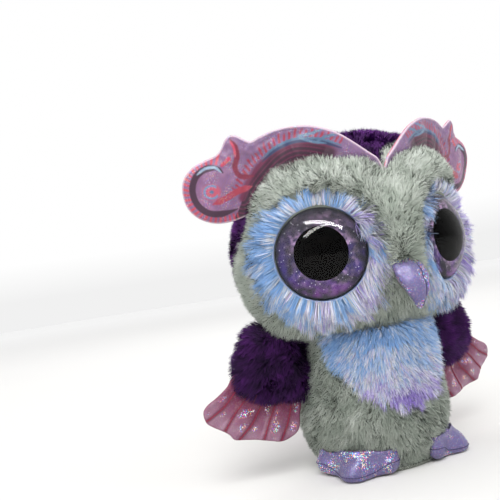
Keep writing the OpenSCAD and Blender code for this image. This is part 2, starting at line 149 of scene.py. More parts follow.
def resample(curve, run, at):
    return np.column_stack([np.interp(at, run, curve[:, k]) for k in range(curve.shape[1])])


def even_loop(curve, step):
    """The same closed curve with points a step apart."""
    closed = np.vstack([curve, curve[:1]])
    run = run_along(closed)
    count = max(8, int(run[-1] / step))
    return resample(closed, run, np.arange(count) * run[-1] / count)


def even_line(curve, step):
    """The same open curve with points a step apart."""
    run = run_along(curve)
    return resample(curve, run, np.linspace(0, run[-1], max(2, int(run[-1] / step) + 1)))


def along(p, curve):
    """For flat points: distance to an open curve, which side of it they are, and how far along it."""
    a, b = curve[:-1], curve[1:]
    d = b - a
    reach = np.linalg.norm(d, axis=1)
    run = run_along(curve)[:-1]
    t = np.clip(((p[:, None] - a) * d).sum(2) / reach ** 2, 0, 1)
    gap = p[:, None] - (a + t[..., None] * d)
    far = np.linalg.norm(gap, axis=2)
    k = far.argmin(1)
    rows = np.arange(len(p))
    side = d[k, 0] * gap[rows, k, 1] - d[k, 1] * gap[rows, k, 0]
    return far[rows, k], np.sign(side), run[k] + t[rows, k] * reach[k]


def edge_distance(p, loop):
    return along(p, np.vstack([loop, loop[:1]]))[0]


def inside(p, loop):
    """True for flat points inside a closed curve, by how many of its edges lie to one side."""
    a, b = loop, np.roll(loop, -1, 0)
    x, y = p[:, :1], p[:, 1:]
    crosses = (a[:, 1] > y) != (b[:, 1] > y)
    rise = np.where(np.abs(b[:, 1] - a[:, 1]) < 1e-12, 1e-12, b[:, 1] - a[:, 1])
    return (crosses & (x < (b[:, 0] - a[:, 0]) * (y - a[:, 1]) / rise + a[:, 0])).sum(1) % 2 == 1


def plane(root, tilt, turn):
    """A flat piece's own frame, as the rotation and root that place it."""
    m = Matrix.Rotation(turn, 3, "Z") @ Matrix.Rotation(tilt, 3, "X")
    return np.array(m), np.array(root, float)


def place(p, frame_of):
    """Points of a piece's own frame where they belong on the owl."""
    rotation, root = frame_of
    return p @ rotation.T + root


# ---- meshes ----

UV_MAP = "OFBake"


def mesh_object(name, points, faces, material, smooth=True):
    """A mesh from points in mm and a table of faces that all have the same number of corners."""
    faces = np.asarray(faces, np.int32)
    mesh = bpy.data.meshes.new(name)
    mesh.vertices.add(len(points))
    mesh.vertices.foreach_set("co", (np.asarray(points) * MM).astype(np.float32).ravel())
    mesh.loops.add(faces.size)
    mesh.loops.foreach_set("vertex_index", faces.ravel())
    mesh.polygons.add(len(faces))
    mesh.polygons.foreach_set("loop_start", np.arange(0, faces.size, faces.shape[1], dtype=np.int32))
    mesh.update(calc_edges=True)
    mesh.validate()
    if smooth:
        mesh.polygons.foreach_set("use_smooth", np.ones(len(faces), bool))
    obj = bpy.data.objects.new(name, mesh)
    bpy.context.scene.collection.objects.link(obj)
    mesh.materials.append(material)
    return obj


def vertex_normals(points, faces):
    """Each point's normal, from the faces round it."""
    a, b, c = (points[faces[:, k]] for k in range(3))
    n = np.cross(b - a, c - a)
    total = np.zeros_like(points)
    for k in range(3):
        np.add.at(total, faces[:, k], n)
    return unit(total)


def turned_out(points, faces, k, way):
    """The faces, all turned over if the normal at point k looks against a direction."""
    return faces if vertex_normals(points, faces)[k] @ way >= 0 else faces[:, ::-1]


def triangles(quads):
    return np.vstack([quads[:, [0, 1, 2]], quads[:, [0, 2, 3]]])


def grid_faces(rows, columns, closed):
    """Quads of a grid of points, its columns joined round when closed."""
    i, j = np.meshgrid(np.arange(rows - 1), np.arange(columns if closed else columns - 1), indexing="ij")
    k = (j + 1) % columns
    quads = np.stack([i * columns + j, i * columns + k, (i + 1) * columns + k, (i + 1) * columns + j], -1)
    return quads.reshape(-1, 4)


def around(count):
    """The numbers of a ring's points, and of the point after each."""
    j = np.arange(count)
    return j, (j + 1) % count


def closing(rows, count):
    """Quads from a grid's last ring of points back to its first."""
    j, k = around(count)
    last = (rows - 1) * count
    return np.stack([last + j, last + k, k, j], 1)


def fan(hub, a, b):
    """Triangles from one point to the edges that run from points a to points b."""
    return np.stack([np.full(len(a), hub), a, b], 1)


def set_uv(obj, uv):
    """Gives a mesh its only UV map, from a place for each point."""
    layer = obj.data.uv_layers.new(name=UV_MAP)
    index = np.empty(len(obj.data.loops), np.int32)
    obj.data.loops.foreach_get("vertex_index", index)
    layer.uv.foreach_set("vector", uv[index].astype(np.float32).ravel())


def paint(obj, name, colours):
    """A colour attribute from one colour, or one grey level, for each point."""
    layer = obj.data.color_attributes.new(name, "FLOAT_COLOR", "POINT")
    full = np.ones((len(colours), 4), np.float32)
    full[:, :3] = colours
    layer.data.foreach_set("color", full.ravel())


def finish_piece(obj, body, slot, *replaced):
    """Rides a piece on its body and hides the CAD nodes that it stands for. The slot argument is not used."""
    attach(obj, body)
    if replaced:
        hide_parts(*replaced)
    return obj


def linear(code):
    """An sRGB colour written as six hex digits, as linear numbers."""
    c = np.array([int(code[k:k + 2], 16) / 255 for k in (0, 2, 4)])
    return np.where(c <= 0.04045, c / 12.92, ((c + 0.055) / 1.055) ** 2.4)


# ---- materials ----

def new_material(name, roughness=0.6, **sockets):
    """A material, its node tree and its shader with these sockets set."""
    m = bpy.data.materials.new(name)
    m.use_nodes = True
    shader = m.node_tree.nodes["Principled BSDF"]
    shader.inputs["Roughness"].default_value = roughness
    for key, value in sockets.items():
        shader.inputs[key.replace("_", " ")].default_value = value
    return m, m.node_tree, shader


def add(tree, kind, links=None, **settings):
    """A shader node with its settings; links gives what goes into each of its inputs."""
    n = tree.nodes.new("ShaderNode" + kind)
    for key, value in settings.items():
        if hasattr(n, key):
            setattr(n, key, value)
        else:
            n.inputs[key.replace("_", " ")].default_value = value
    for key, value in (links or {}).items():
        tree.links.new(value, n.inputs[key])
    return n


def ramp(tree, source, stops, mode="LINEAR"):
    """A colour ramp; a stop is a place with a colour code or a grey level."""
    n = tree.nodes.new("ShaderNodeValToRGB")
    n.color_ramp.interpolation = mode
    bands = n.color_ramp.elements
    while len(bands) < len(stops):
        bands.new(0.5)
    for band, (place_at, colour) in zip(bands, stops):
        band.position = place_at
        value = linear(colour) if isinstance(colour, str) else np.array([colour] * 3)
        band.color = (*value, 1)
    tree.links.new(source, n.inputs["Fac"])
    return n.outputs["Color"]


def mix(tree, share, a, b, blend="MIX"):
    """A colour mix; share, a and b may be sockets, values or colour codes."""
    n = tree.nodes.new("ShaderNodeMix")
    n.data_type = "RGBA"
    n.blend_type = blend
    for key, value in (("Factor", share), ("A", a), ("B", b)):
        socket = [s for s in n.inputs if s.name == key and s.enabled][0]
        if isinstance(value, bpy.types.NodeSocket):
            tree.links.new(value, socket)
        elif isinstance(value, str):
            socket.default_value = (*linear(value), 1)
        else:
            socket.default_value = value
    return [s for s in n.outputs if s.enabled][0]


def here(tree):
    """The place on the object, in metres."""
    return add(tree, "TexCoord").outputs["Object"]


def noise(tree, scale, detail=3.0, source=None):
    """A cloudy pattern from 0 to 1."""
    n = add(tree, "TexNoise", {"Vector": source or here(tree)}, Scale=scale, Detail=detail)
    return n.outputs["Fac"]


def colour_by(shader, source):
    """Takes the shader's base colour from a socket."""
    shader.id_data.links.new(source, shader.inputs["Base Color"])


def bump(tree, shader, height, strength, depth):
    """Relief from a height of 0 to 1, depth metres deep."""
    n = add(tree, "Bump", {"Height": height}, Strength=strength, Distance=depth)
    tree.links.new(n.outputs["Normal"], shader.inputs["Normal"])


def plush_material(name, stops, root_shade=0.35, sheen=0.35, roughness=0.7, tint="ffffff"):
    """Pile: the colour comes from the hair's place on a palette, with painted shade that darkens it towards
    its root.
    """
    m, tree, shader = new_material(name, roughness, Sheen_Weight=sheen, Sheen_Roughness=0.4,
                                   Specular_IOR_Level=0.25)
    shader.inputs["Sheen Tint"].default_value = (*linear(tint), 1)
    uv = add(tree, "UVMap", uv_map=UV_MAP)
    split = add(tree, "SeparateXYZ", {"Vector": uv.outputs["UV"]})
    colour = ramp(tree, split.outputs["X"], stops)
    # painted shade: each blade is darker towards its root, standing in for the shade deep in the pile
    depth = ramp(tree, split.outputs["Y"], [(0.0, root_shade), (0.45, 0.5 + root_shade / 2), (1.0, 1.0)])
    colour_by(shader, mix(tree, 1.0, colour, depth, "MULTIPLY"))
    return m


def two_tone(name, dark, light, scale, roughness, **sockets):
    """A material whose colour drifts between two tones."""
    m, tree, shader = new_material(name, roughness, **sockets)
    colour_by(shader, mix(tree, noise(tree, scale), dark, light))
    return m, tree, shader


def knit_material(name, dark, light):
    """The backing cloth under the pile, with its fine knit."""
    m, tree, shader = two_tone(name, dark, light, 60.0, 0.95)
    knit = add(tree, "TexVoronoi", {"Vector": here(tree)}, Scale=900.0)
    bump(tree, shader, knit.outputs["Distance"], 0.5, 0.0004)
    return m


def plastic_material(name, dark, light, roughness):
    """Moulded plastic or board, with a fine grain."""
    m, tree, shader = two_tone(name, dark, light, 120.0, roughness)
    bump(tree, shader, noise(tree, 2500.0, 2.0), 0.2, 0.0001)
    return m


def metal_material(name, dark, light):
    """Bright metal with fine marks."""
    m, tree, shader = two_tone(name, dark, light, 300.0, 0.28, Metallic=1.0)
    bump(tree, shader, noise(tree, 1800.0, 2.0), 0.15, 0.00005)
    return m


def weave(tree, pitch, turn=0.7):
    """Twill lines across a piece, as a height from 0 to 1."""
    spot = add(tree, "Mapping", {"Vector": here(tree)}, Rotation=(turn, 0.6, turn))
    n = add(tree, "TexWave", {"Vector": spot.outputs["Vector"]}, Scale=1 / pitch / TURN * 3.14,
            Distortion=0.4, Detail=1.0)
    return n.outputs["Fac"]


def flecks(tree, size, share, clump=0.0):
    """Glitter: a colour for each fleck and where the flecks are."""
    cells = add(tree, "TexVoronoi", {"Vector": here(tree)}, Scale=1000.0 / size)
    pick = add(tree, "SeparateXYZ", {"Vector": cells.outputs["Color"]})
    hue = ramp(tree, pick.outputs["X"], [(0.0, "ff6aa8"), (0.16, "ffb45a"), (0.3, "fff2b4"), (0.44, "ffffff"),
                                         (0.58, "62bcff"), (0.74, "8a66ff"), (0.9, "7dffd8")], "CONSTANT")
    lit = ramp(tree, pick.outputs["Y"], [(0.0, 0.0), (1 - share, 1.0)], "CONSTANT")
    if clump:
        where = ramp(tree, noise(tree, clump, 1.0), [(0.48, 0.12), (0.62, 1.0)])
        lit = mix(tree, 1.0, lit, where, "MULTIPLY")
    return hue, lit, cells.outputs["Distance"]


def glitter_material(name, dark, light, share, size=0.55, twill=0.9, metallic=0.25):
    """Glitter cloth: a twill in two tones under flecks of many colours; sizes in mm."""
    m, tree, shader = new_material(name, 0.34, Metallic=metallic, Specular_IOR_Level=0.6,
                                   Coat_Weight=0.25, Coat_Roughness=0.25)
    base = mix(tree, noise(tree, 90.0, 4.0), dark, light)
    lines = weave(tree, twill * MM)
    base = mix(tree, 0.35, base, ramp(tree, lines, [(0.0, 0.35), (1.0, 1.0)]), "MULTIPLY")
    hue, lit, cell = flecks(tree, size, share, 110.0)
    colour_by(shader, mix(tree, lit, base, hue))
    bump(tree, shader, mix(tree, 0.5, lines, cell), 0.45, 0.0003)
    return m


def printed_material(name, roughness, share, size, pitch, sheen=0.1):
    """Printed satin: the print from the piece's own colours, with weave and a scatter of glitter."""
    m, tree, shader = new_material(name, roughness, Sheen_Weight=sheen, Specular_IOR_Level=0.55)
    ink = add(tree, "Attribute", attribute_name="print").outputs["Color"]
    shine = add(tree, "Attribute", attribute_name="glitter").outputs["Fac"]
    lines = weave(tree, pitch * MM)
    ink = mix(tree, 0.28, ink, ramp(tree, lines, [(0.0, 0.45), (1.0, 1.0)]), "MULTIPLY")
    hue, lit, cell = flecks(tree, size, share)
    spots = add(tree, "Math", {0: lit, 1: shine}, operation="MULTIPLY").outputs["Value"]
    colour_by(shader, mix(tree, spots, ink, hue))
    bump(tree, shader, mix(tree, 0.4, lines, cell), 0.4, 0.0003)
    return m


def iris_material():
    """A printed disc: violet clouds with pale wisps and small stars, darker to the rim."""
    m, tree, shader = new_material("iris_galaxy", 0.45)
    spot = here(tree)
    split = add(tree, "SeparateXYZ", {"Vector": spot}).outputs
    side = add(tree, "Math", {0: split["X"]}, operation="ABSOLUTE")
    folded = add(tree, "CombineXYZ", {"X": side.outputs["Value"], "Y": split["Y"], "Z": split["Z"]})
    centred = add(tree, "VectorMath", {0: folded.outputs["Vector"]}, operation="SUBTRACT")
    centred.inputs[1].default_value = EYE * MM
    far = add(tree, "VectorMath", {0: centred.outputs["Vector"]}, operation="LENGTH")
    radius = add(tree, "Math", {0: far.outputs["Value"]}, operation="MULTIPLY")
    radius.inputs[1].default_value = 1 / (EYE_R * MM)
    height = add(tree, "SeparateXYZ", {"Vector": centred.outputs["Vector"]})
    level = add(tree, "MapRange", {"Value": height.outputs["Z"]}, From_Min=-0.025, From_Max=0.025)
    cloud = noise(tree, 150.0, 7.0, spot)
    hue = ramp(tree, level.outputs["Result"], [(0.0, "5c1066"), (0.3, "260e62"), (0.65, "221242"),
                                               (1.0, "44363c")])
    deep = mix(tree, ramp(tree, cloud, [(0.4, 0.0), (0.6, 1.0)]), "080516", hue)
    thin = ramp(tree, noise(tree, 330.0, 9.0, spot), [(0.46, 0.0), (0.62, 1.0)])
    wisp = mix(tree, thin, deep, "b08fb0")
    close = ramp(tree, radius.outputs["Value"], [(0.58, 1.0), (0.7, 0.5), (0.84, 0.1)])
    drift = ramp(tree, noise(tree, 75.0, 2.0, spot), [(0.42, 0.15), (0.6, 1.0)])
    near = mix(tree, 1.0, close, drift, "MULTIPLY")
    lit = mix(tree, near, deep, wisp)
    stars = add(tree, "TexVoronoi", {"Vector": spot}, Scale=460.0)
    lit = mix(tree, ramp(tree, stars.outputs["Distance"], [(0.0, 1.0), (0.16, 0.0)]), lit, "ffffff")
    rim = ramp(tree, radius.outputs["Value"], [(0.9, 1.0), (0.975, 0.05)])
    colour_by(shader, mix(tree, 1.0, lit, rim, "MULTIPLY"))
    return m


GREY_STOPS = [(0.0, "98a397"), (0.35, "b2bcb0"), (0.65, "c9d1c6"), (1.0, "eaf0e8")]
PURPLE_STOPS = [(0.0, "240a33"), (0.4, "46155c"), (0.7, "64267f"), (1.0, "9450b4")]
TIPPED_STOPS = [(0.0, "8cbcf8"), (0.25, "aed0fc"), (0.45, "ffffff"), (0.62, "e4defd"), (0.8, "bba8f2"),
                (1.0, "977cdc")]

grey_pile = plush_material("grey_pile", GREY_STOPS, 0.62, 0.12)
purple_pile = plush_material("purple_pile", PURPLE_STOPS, 0.35, 0.16, tint="b06ae0")
tipped_pile = plush_material("tipped_pile", TIPPED_STOPS, 0.62, 0.15, 0.4)
grey_knit = knit_material("grey_knit", "6e746a", "8a9085")
white_wadding = knit_material("white_wadding", "d8d8d4", "f2f2ee")
purple_knit = knit_material("purple_knit", "1a0626", "33104a")
blue_knit = knit_material("blue_knit", "7d93c4", "a7b5dc")
dome_clear = two_tone("dome_clear", "fbfcff", "f4f6fc", 20.0, 0.015, Transmission_Weight=1.0, IOR=1.22)[0]
foot_glitter = glitter_material("lilac_glitter", "4e4678", "7a70a4", 0.3, 0.42, 0.7)
coral_glitter = glitter_material("coral_glitter", "dc5f86", "f08fab", 0.35, 0.5)
horn_print = printed_material("horn_print", 0.45, 0.22, 0.32, 0.5)
feather_satin = printed_material("feather_satin", 0.42, 0.34, 0.45, 0.5, 0.15)
tail_print = printed_material("tail_print", 0.45, 0.3, 0.4, 0.6)
red_thread = plastic_material("red_thread", "7e1034", "a01a42", 0.6)
dark_thread = plastic_material("dark_thread", "2e2648", "473c6b", 0.6)


# ---- pile ----

RUNGS = (0.0, 0.4, 0.75)  # where along a blade its pairs of points are; one more point is its tip
BLADE_POINTS = 2 * len(RUNGS) + 1
TUFT = 26  # blades in a tuft
PILE_MOST = 36000  # blades in one piece, past which a pile is made as two


def scatter(points, faces, per_mm2, seed):
    """Random places on a skin, with the skin's normals there."""
    rng = np.random.default_rng(seed)
    a, b, c = (points[faces[:, k]] for k in range(3))
    area = np.linalg.norm(np.cross(b - a, c - a), axis=1) / 2
    count = int(area.sum() * per_mm2)
    pick = rng.choice(len(faces), count, p=area / area.sum())
    u, v = rng.random((2, count))
    over = u + v > 1
    u[over], v[over] = 1 - u[over], 1 - v[over]
    weights = np.stack([1 - u - v, u, v], 1)[..., None]
    corners = faces[pick]
    normals = vertex_normals(points, faces)
    return (points[corners] * weights).sum(1), unit((normals[corners] * weights).sum(1))


def pile(name, body, slot, material, roots, normals, comb, length, tone, width=0.6, gather=0.55,
         fray=0.25, tuft=TUFT, seed=1, floor=0.3, streak=0.05):
    """Pile as real blades: each leans along comb, gathers into tufts and takes its colour from tone.

    width and length are in mm; gather is how far tips are drawn to their tuft's leader, fray how much each
    blade strays, streak how much tufts differ in tone, and floor the lowest that a blade may reach. On the
    tipped pile the pale tufts that streak gives are partly painted highlights, standing in for glossy fibres.
    """
    rng = np.random.default_rng(seed)
    if len(roots) > PILE_MOST:
        share = (roots[:, 0] > np.median(roots[:, 0])).astype(int)
        return [pile("%s_%d" % (name, k + 1), body, slot, material, *(v[share == k] for v in
                     (roots, normals, comb, length * np.ones(len(roots)), tone)), width, gather, fray, tuft,
                     seed + 100 * k, floor, streak) for k in (0, 1)]
    count = len(roots)
    lean = comb + rng.normal(0, fray, (count, 3))
    way = unit(normals + lean)
    length = length * rng.uniform(0.72, 1.12, count)
    tips = roots + way * length[:, None]
    leaders = rng.choice(count, max(1, count // tuft), replace=False)
    tree = kdtree.KDTree(len(leaders))
    for k, leader in enumerate(leaders):
        tree.insert(roots[leader], k)
    tree.balance()
    lead = leaders[[tree.find(r)[1] for r in roots]]
    pull = gather * rng.uniform(0.45, 1.0, count)[:, None]
    tips = tips * (1 - pull) + (tips[lead] + 0.22 * (roots - roots[lead])) * pull
    tips[:, 2] = np.maximum(tips[:, 2], floor)
    knees = roots + unit(normals + 0.35 * lean) * length[:, None] * 0.5
    knees[:, 2] = np.maximum(knees[:, 2], floor)
    run = tips - roots
    side = unit(np.cross(run, normals + rng.normal(0, 0.5, (count, 3))))
    side[np.sum(np.cross(side, run) * normals, axis=1) < 0] *= -1
    rows = []
    for t in RUNGS:
        centre = (1 - t) ** 2 * roots + 2 * t * (1 - t) * knees + t * t * tips
        half = side * width * (0.5 - 0.33 * t)
        rows += [centre - half, centre + half]
    points = np.stack([*rows, tips], 1).reshape(-1, 3)
    first = np.arange(count)[:, None, None] * BLADE_POINTS
    blade = np.array([[0, 1, 3], [0, 3, 2], [2, 3, 5], [2, 5, 4], [4, 5, 6]])
    obj = mesh_object(name, points, (first + blade).reshape(-1, 3), material)
    tone = tone[lead] * 0.45 + tone * 0.55 + rng.normal(0, streak, count)[lead] + rng.normal(0, streak, count)
    u = np.clip(tone, 0.02, 0.98)
    levels = np.tile(np.repeat([*RUNGS, 1.0], [2, 2, 2, 1]), (count, 1))
    sway = np.array([-1, 1, -1, 1, -1, 1, 0]) * 0.006
    set_uv(obj, np.stack([u[:, None] + sway, levels * 0.98 + 0.01], -1).reshape(-1, 2))
    shade = unit(normals + 0.55 * unit(run) + 0.18 * rng.normal(size=(count, 3)))
    obj.data.normals_split_custom_set_from_vertices(np.repeat(shade, BLADE_POINTS, 0))
    return finish_piece(obj, body, slot)


# ---- head ----

HEAD_AXES = np.array([65.5, 60.0, 57.0])
SWELLS = [(np.array([34.0, -33.0, 166.0]), 4.0, 17.0),  # the brow over the eye: place, height and spread
          (np.array([49.0, -20.0, 164.0]), 6.0, 15.0),  # under the horn
          (np.array([55.0, -8.0, 99.0]), 9.5, 15.0),  # the cheek
          (np.array([64.0, -5.0, 117.0]), 6.5, 15.0)]  # the temple
SOCKET_DEPTH = 5.2
SOCKET_R = 31.5
SKIN_THICK = 1.2
NECK_R = 31.0
PATCH_REACH = 35.3


def soft_max(a, b, k):
    """The larger of two values, with a rounded join of size k."""
    h = np.maximum(k - np.abs(a - b), 0) / k
    return np.maximum(a, b) + h * h * k / 4


def head_field(p):
    """Below zero inside the head's backing cloth: an oval cut by two eye planes, with swells round them."""
    q = np.linalg.norm((p - HEAD) / HEAD_AXES, axis=1)
    oval = (q - 1) * HEAD_AXES[2]
    folded = p * np.array([0, 1, 1]) + np.abs(p) * np.array([1, 0, 0])
    out = (folded - EYE) @ EYE_AXIS
    beside = np.linalg.norm(folded - EYE - out[:, None] * EYE_AXIS, axis=1)
    eye_side = out + SOCKET_DEPTH - 1.1 * np.maximum(beside - SOCKET_R, 0)
    swell = sum(height * np.exp(-np.sum((folded - at) ** 2, 1) / (2 * spread ** 2))
                for at, height, spread in SWELLS)
    dip = 3.5 * np.exp(-(p[:, 0] / 9.0) ** 2) * ease(145, 168, p[:, 2])
    crown = 4.0 * ease(-34, 0, p[:, 1]) * ease(168, 186, p[:, 2])
    return soft_max(oval, eye_side, 5.0) - swell - crown + dip * (p[:, 1] < HEAD[1])


def head_skin():
    """The head's backing cloth: a fine ball, each point moved out to where head_field is zero."""
    bm = bmesh.new()
    bmesh.ops.create_icosphere(bm, subdivisions=6, radius=1.0)
    ways = np.array([v.co[:] for v in bm.verts])
    faces = np.array([[v.index for v in f.verts] for f in bm.faces])
    bm.free()
    ways = unit(ways)
    near, far = np.full(len(ways), 30.0), np.full(len(ways), 90.0)
    for _ in range(24):
        mid = (near + far) / 2
        out = head_field(HEAD + ways * mid[:, None]) > 0
        far[out], near[~out] = mid[out], mid[~out]
    points = HEAD + ways * near[:, None]
    points += ways * ripple(points, 26, 5)[:, None] * 0.7
    return points, faces


def hair_line(p):
    """How far behind the hairline a point of the head is, in mm."""
    crown = HAIR_FRONT_Y + np.abs(p[:, 0]) * math.tan(HORN_SWEEP)
    return p[:, 1] - (HAIR_Y + (crown - HAIR_Y) * ease(118, 152, p[:, 2]))


def eye_local(p, side):
    """Coordinates about one eye: to the picture's right, up, and out along the eye's axis."""
    q = mirrored(p, side) - EYE
    across = np.array([math.cos(EYE_YAW), math.sin(EYE_YAW), 0])
    return np.stack([q @ across * side, q[:, 2], q @ EYE_AXIS], 1)


def under_eye(p, reach):
    """True for points of the head that an eye patch covers."""
    covered = np.zeros(len(p), bool)
    for side in (-1, 1):
        q = eye_local(p, side)
        covered |= (np.hypot(q[:, 0], q[:, 1]) < reach) & (q[:, 2] > -22)
    return covered


def split_skin(points, faces, chosen):
    """The chosen faces as a skin of their own."""
    used = np.unique(faces[chosen])
    index = np.full(len(points), -1)
    index[used] = np.arange(len(used))
    return points[used], index[faces[chosen]]


def shell(obj, thickness):
    """Gives an open skin its cloth thickness, inwards."""
    solid = obj.modifiers.new("cloth", "SOLIDIFY")
    solid.thickness = thickness * MM
    solid.offset = -1
    graph = bpy.context.evaluated_depsgraph_get()
    made = bpy.data.meshes.new_from_object(obj.evaluated_get(graph))
    obj.modifiers.clear()
    obj.data = made


def make_head():
    """The face and hood with their pile, parted at the hairline, and the filling."""
    points, faces = head_skin()
    centres = points[faces].mean(1)
    behind = hair_line(centres) > 0
    front, front_faces = split_skin(points, faces, ~behind)
    back, back_faces = split_skin(points, faces, behind)
    face = mesh_object("face_cloth", front, front_faces, grey_knit)
    hood = mesh_object("hood_cloth", back, back_faces, purple_knit)
    for obj, slot, node in ((face, "grey_plush", "face_skin"), (hood, "purple_plush", "head_hood")):
        shell(obj, SKIN_THICK)
        finish_piece(obj, "head", slot, node)

    inward = unit(points - HEAD)
    wadding = mesh_object("head_wadding", points - inward * 2.8, faces, white_wadding)
    finish_piece(wadding, "head", "stuffing", "head_stuffing")

    roots, normals = scatter(points, faces, 4.4, 11)
    rng = np.random.default_rng(15)
    dense = (roots[:, 1] < HAIR_Y - 5) | (rng.random(len(roots)) < 0.55)
    roots, normals = roots[dense], normals[dense]
    underneath = (np.hypot(roots[:, 0], roots[:, 1]) < NECK_R) & (roots[:, 2] < HEAD[2] - 30)
    open_skin = ~underneath & ~under_eye(roots, PATCH_REACH)
    behind = hair_line(roots) + 1.2 * ripple(roots, 9, 3) > 0
    grey = open_skin & ~behind
    r, n = roots[grey], normals[grey]
    away = unit(r - np.array([0, -70, 116.0]))
    lift = ease(150, 172, r[:, 2])[:, None]
    hang = ease(100, 84, r[:, 2])[:, None]
    comb = unit(tangent(away, n)) * (0.55 - 0.2 * lift) + 0.2 * swirl(r, n, 21)
    comb += hang * np.array([0, 0, -1.1])
    # the pile is lighter towards the crown: painted light from above
    tone = 0.5 + 0.16 * ease(138, 168, r[:, 2]) + 0.13 * ripple(r, 13, 31) + 0.12 * ripple(r, 4, 32)
    pile("face_pile", "head", "grey_plush", grey_pile, r, n, comb, 6.4 + 3.0 * hang[:, 0], tone,
         width=0.42, gather=0.34, fray=0.36, tuft=10, seed=41)
    for side, name in ((1, "hood_pile_left"), (-1, "hood_pile_right")):
        part = open_skin & behind & (roots[:, 0] * side > 0)
        r, n = roots[part], normals[part]
        hang = ease(100, 84, r[:, 2])
        comb = unit(tangent(np.array([0, 0.5, -1.0]), n)) * 0.4 + 0.4 * swirl(r, n, 22)
        comb += hang[:, None] * np.array([0, 0, -1.1])
        tone = 0.5 + 0.15 * ripple(r, 15, 33) + 0.14 * ripple(r, 4, 34)
        pile(name, "head", "purple_plush", purple_pile, r, n, comb, 7.2 + 2.5 * hang, tone, seed=42 + side)


def swirl(p, normals, seed):
    """A smooth wandering direction along the surface."""
    field = np.stack([ripple(p, 16, seed + 7 * k) for k in range(3)], 1)
    return tangent(field, normals)


# ---- eyes ----

DOME_RISE = 11.0
RING_POINTS = 96
PATCH_RING = [(25.6, -4.2), (25.7, -1.6), (26.6, -0.7), (29.0, -1.4), (32.0, -4.2), (34.2, -8.5),
              (34.6, -13.0), (32.5, -15.0), (29.0, -11.0), (26.6, -7.0)]


def revolve(profile, count, frame_of):
    """A ring swept from a profile of (radius, height) about a frame's third axis."""
    profile = np.array(profile)
    a = np.arange(count) * TURN / count
    grid = np.stack([profile[:, None, 0] * np.cos(a), profile[:, None, 0] * np.sin(a),
                     np.repeat(profile[:, 1:], count, 1)], -1)
    return place(grid.reshape(-1, 3), frame_of)


def make_dome(side, name):
    """The clear dome, moulded round its pupil and printed disc so that nothing shows between them."""
    axis = mirrored(EYE_AXIS, side)
    frame_of = plane(EYE, math.pi / 2, EYE_YAW)
    ball = (EYE_R ** 2 + DOME_RISE ** 2) / (2 * DOME_RISE)
    a = np.linspace(0, math.asin(EYE_R / ball), 26)[1:]
    cap = np.column_stack([ball * np.sin(a), ball * np.cos(a) - (ball - DOME_RISE)])
    profile = np.vstack([cap[:-1], [(EYE_R - 0.15, 0.3), (EYE_R, -0.1), (EYE_R, -0.6), (EYE_R - 0.3, -0.8)]])
    points = revolve(profile, RING_POINTS, frame_of)
    hubs = place(np.array([[0, 0, DOME_RISE], [0, 0, -0.8]]), frame_of)
    j, k = around(RING_POINTS)
    last = (len(profile) - 1) * RING_POINTS
    front, back = len(points), len(points) + 1
    faces = np.vstack([triangles(grid_faces(len(profile), RING_POINTS, True)), fan(front, k, j),
                       fan(back, last + j, last + k)])
    points = mirrored(np.vstack([points, hubs]), side)
    faces = turned_out(points, faces[:, ::side], front, axis)
    finish_piece(mesh_object("eye_dome_" + name, points, faces, dome_clear), "head", "clear_dome",
                 "eye_lens_" + name)


def make_eye(side, name):
    """The long-pile patch round an eye, combed out and down, from blue to violet towards the owl's left."""
    centre, axis = mirrored(EYE, side), mirrored(EYE_AXIS, side)
    profile = smooth_loop(PATCH_RING, 4)
    rows, front = len(profile), 12 * RING_POINTS
    points = mirrored(revolve(profile, RING_POINTS, plane(EYE, math.pi / 2, EYE_YAW)), side)
    faces = triangles(np.vstack([grid_faces(rows, RING_POINTS, True), closing(rows, RING_POINTS)]))
    faces = turned_out(points, faces, front, axis)
    ring = mesh_object("eye_patch_cloth_" + name, points, faces, blue_knit)
    finish_piece(ring, "head", "tipped_plush", "eye_patch_" + name)

    roots, normals = scatter(points, faces, 6.0, 51 + side)
    q = eye_local(roots, side)
    radius = np.hypot(q[:, 0], q[:, 1])
    shown = (q[:, 2] > -9.5) & (radius > 26.0) & (normals @ axis > -0.2)
    roots, normals, q, radius = roots[shown], normals[shown], q[shown], radius[shown]
    radial = unit(roots - centre - ((roots - centre) @ axis)[:, None] * axis)
    inner = ease(29.0, 26.0, radius)[:, None]
    angle = np.arctan2(q[:, 1], q[:, 0])
    fall = 0.75 - 0.35 * np.clip(np.sin(angle), 0, 1)[:, None]
    nose = ease(0.1, 0.9, -side * np.cos(angle))[:, None]
    comb = (1.25 + 1.4 * inner) * (1 - 0.55 * nose) * radial + (fall + 0.3 * nose) * np.array([0, 0, -1.0])
    comb += (0.3 + 0.25 * nose) * swirl(roots, normals, 23)
    left = 0.5 - 0.5 * np.cos(angle)
    below = 0.5 - 0.5 * np.sin(angle)
    tone = np.where(side < 0, 0.5 - 0.42 * left + 0.12 * below ** 2, 0.64 - 0.36 * left)
    tone = tone + 0.13 * ripple(roots, 7, 35) + 0.12 * ripple(roots, 2.5, 36)
    length = 8.2 + 0.4 * left + 2.8 * below + 1.8 * nose[:, 0] + 2.2 * ripple(roots, 6, 87)
    # the tufts differ in tone; their pale streaks are partly the pile's own tone, partly painted highlights
    # of glossy fibres
    pile("eye_patch_pile_" + name, "head", "tipped_plush", tipped_pile, roots, normals, comb, length, tone,
         width=0.46, gather=0.5, fray=0.26, tuft=14, seed=61 + side, streak=0.12)


# ---- body ----

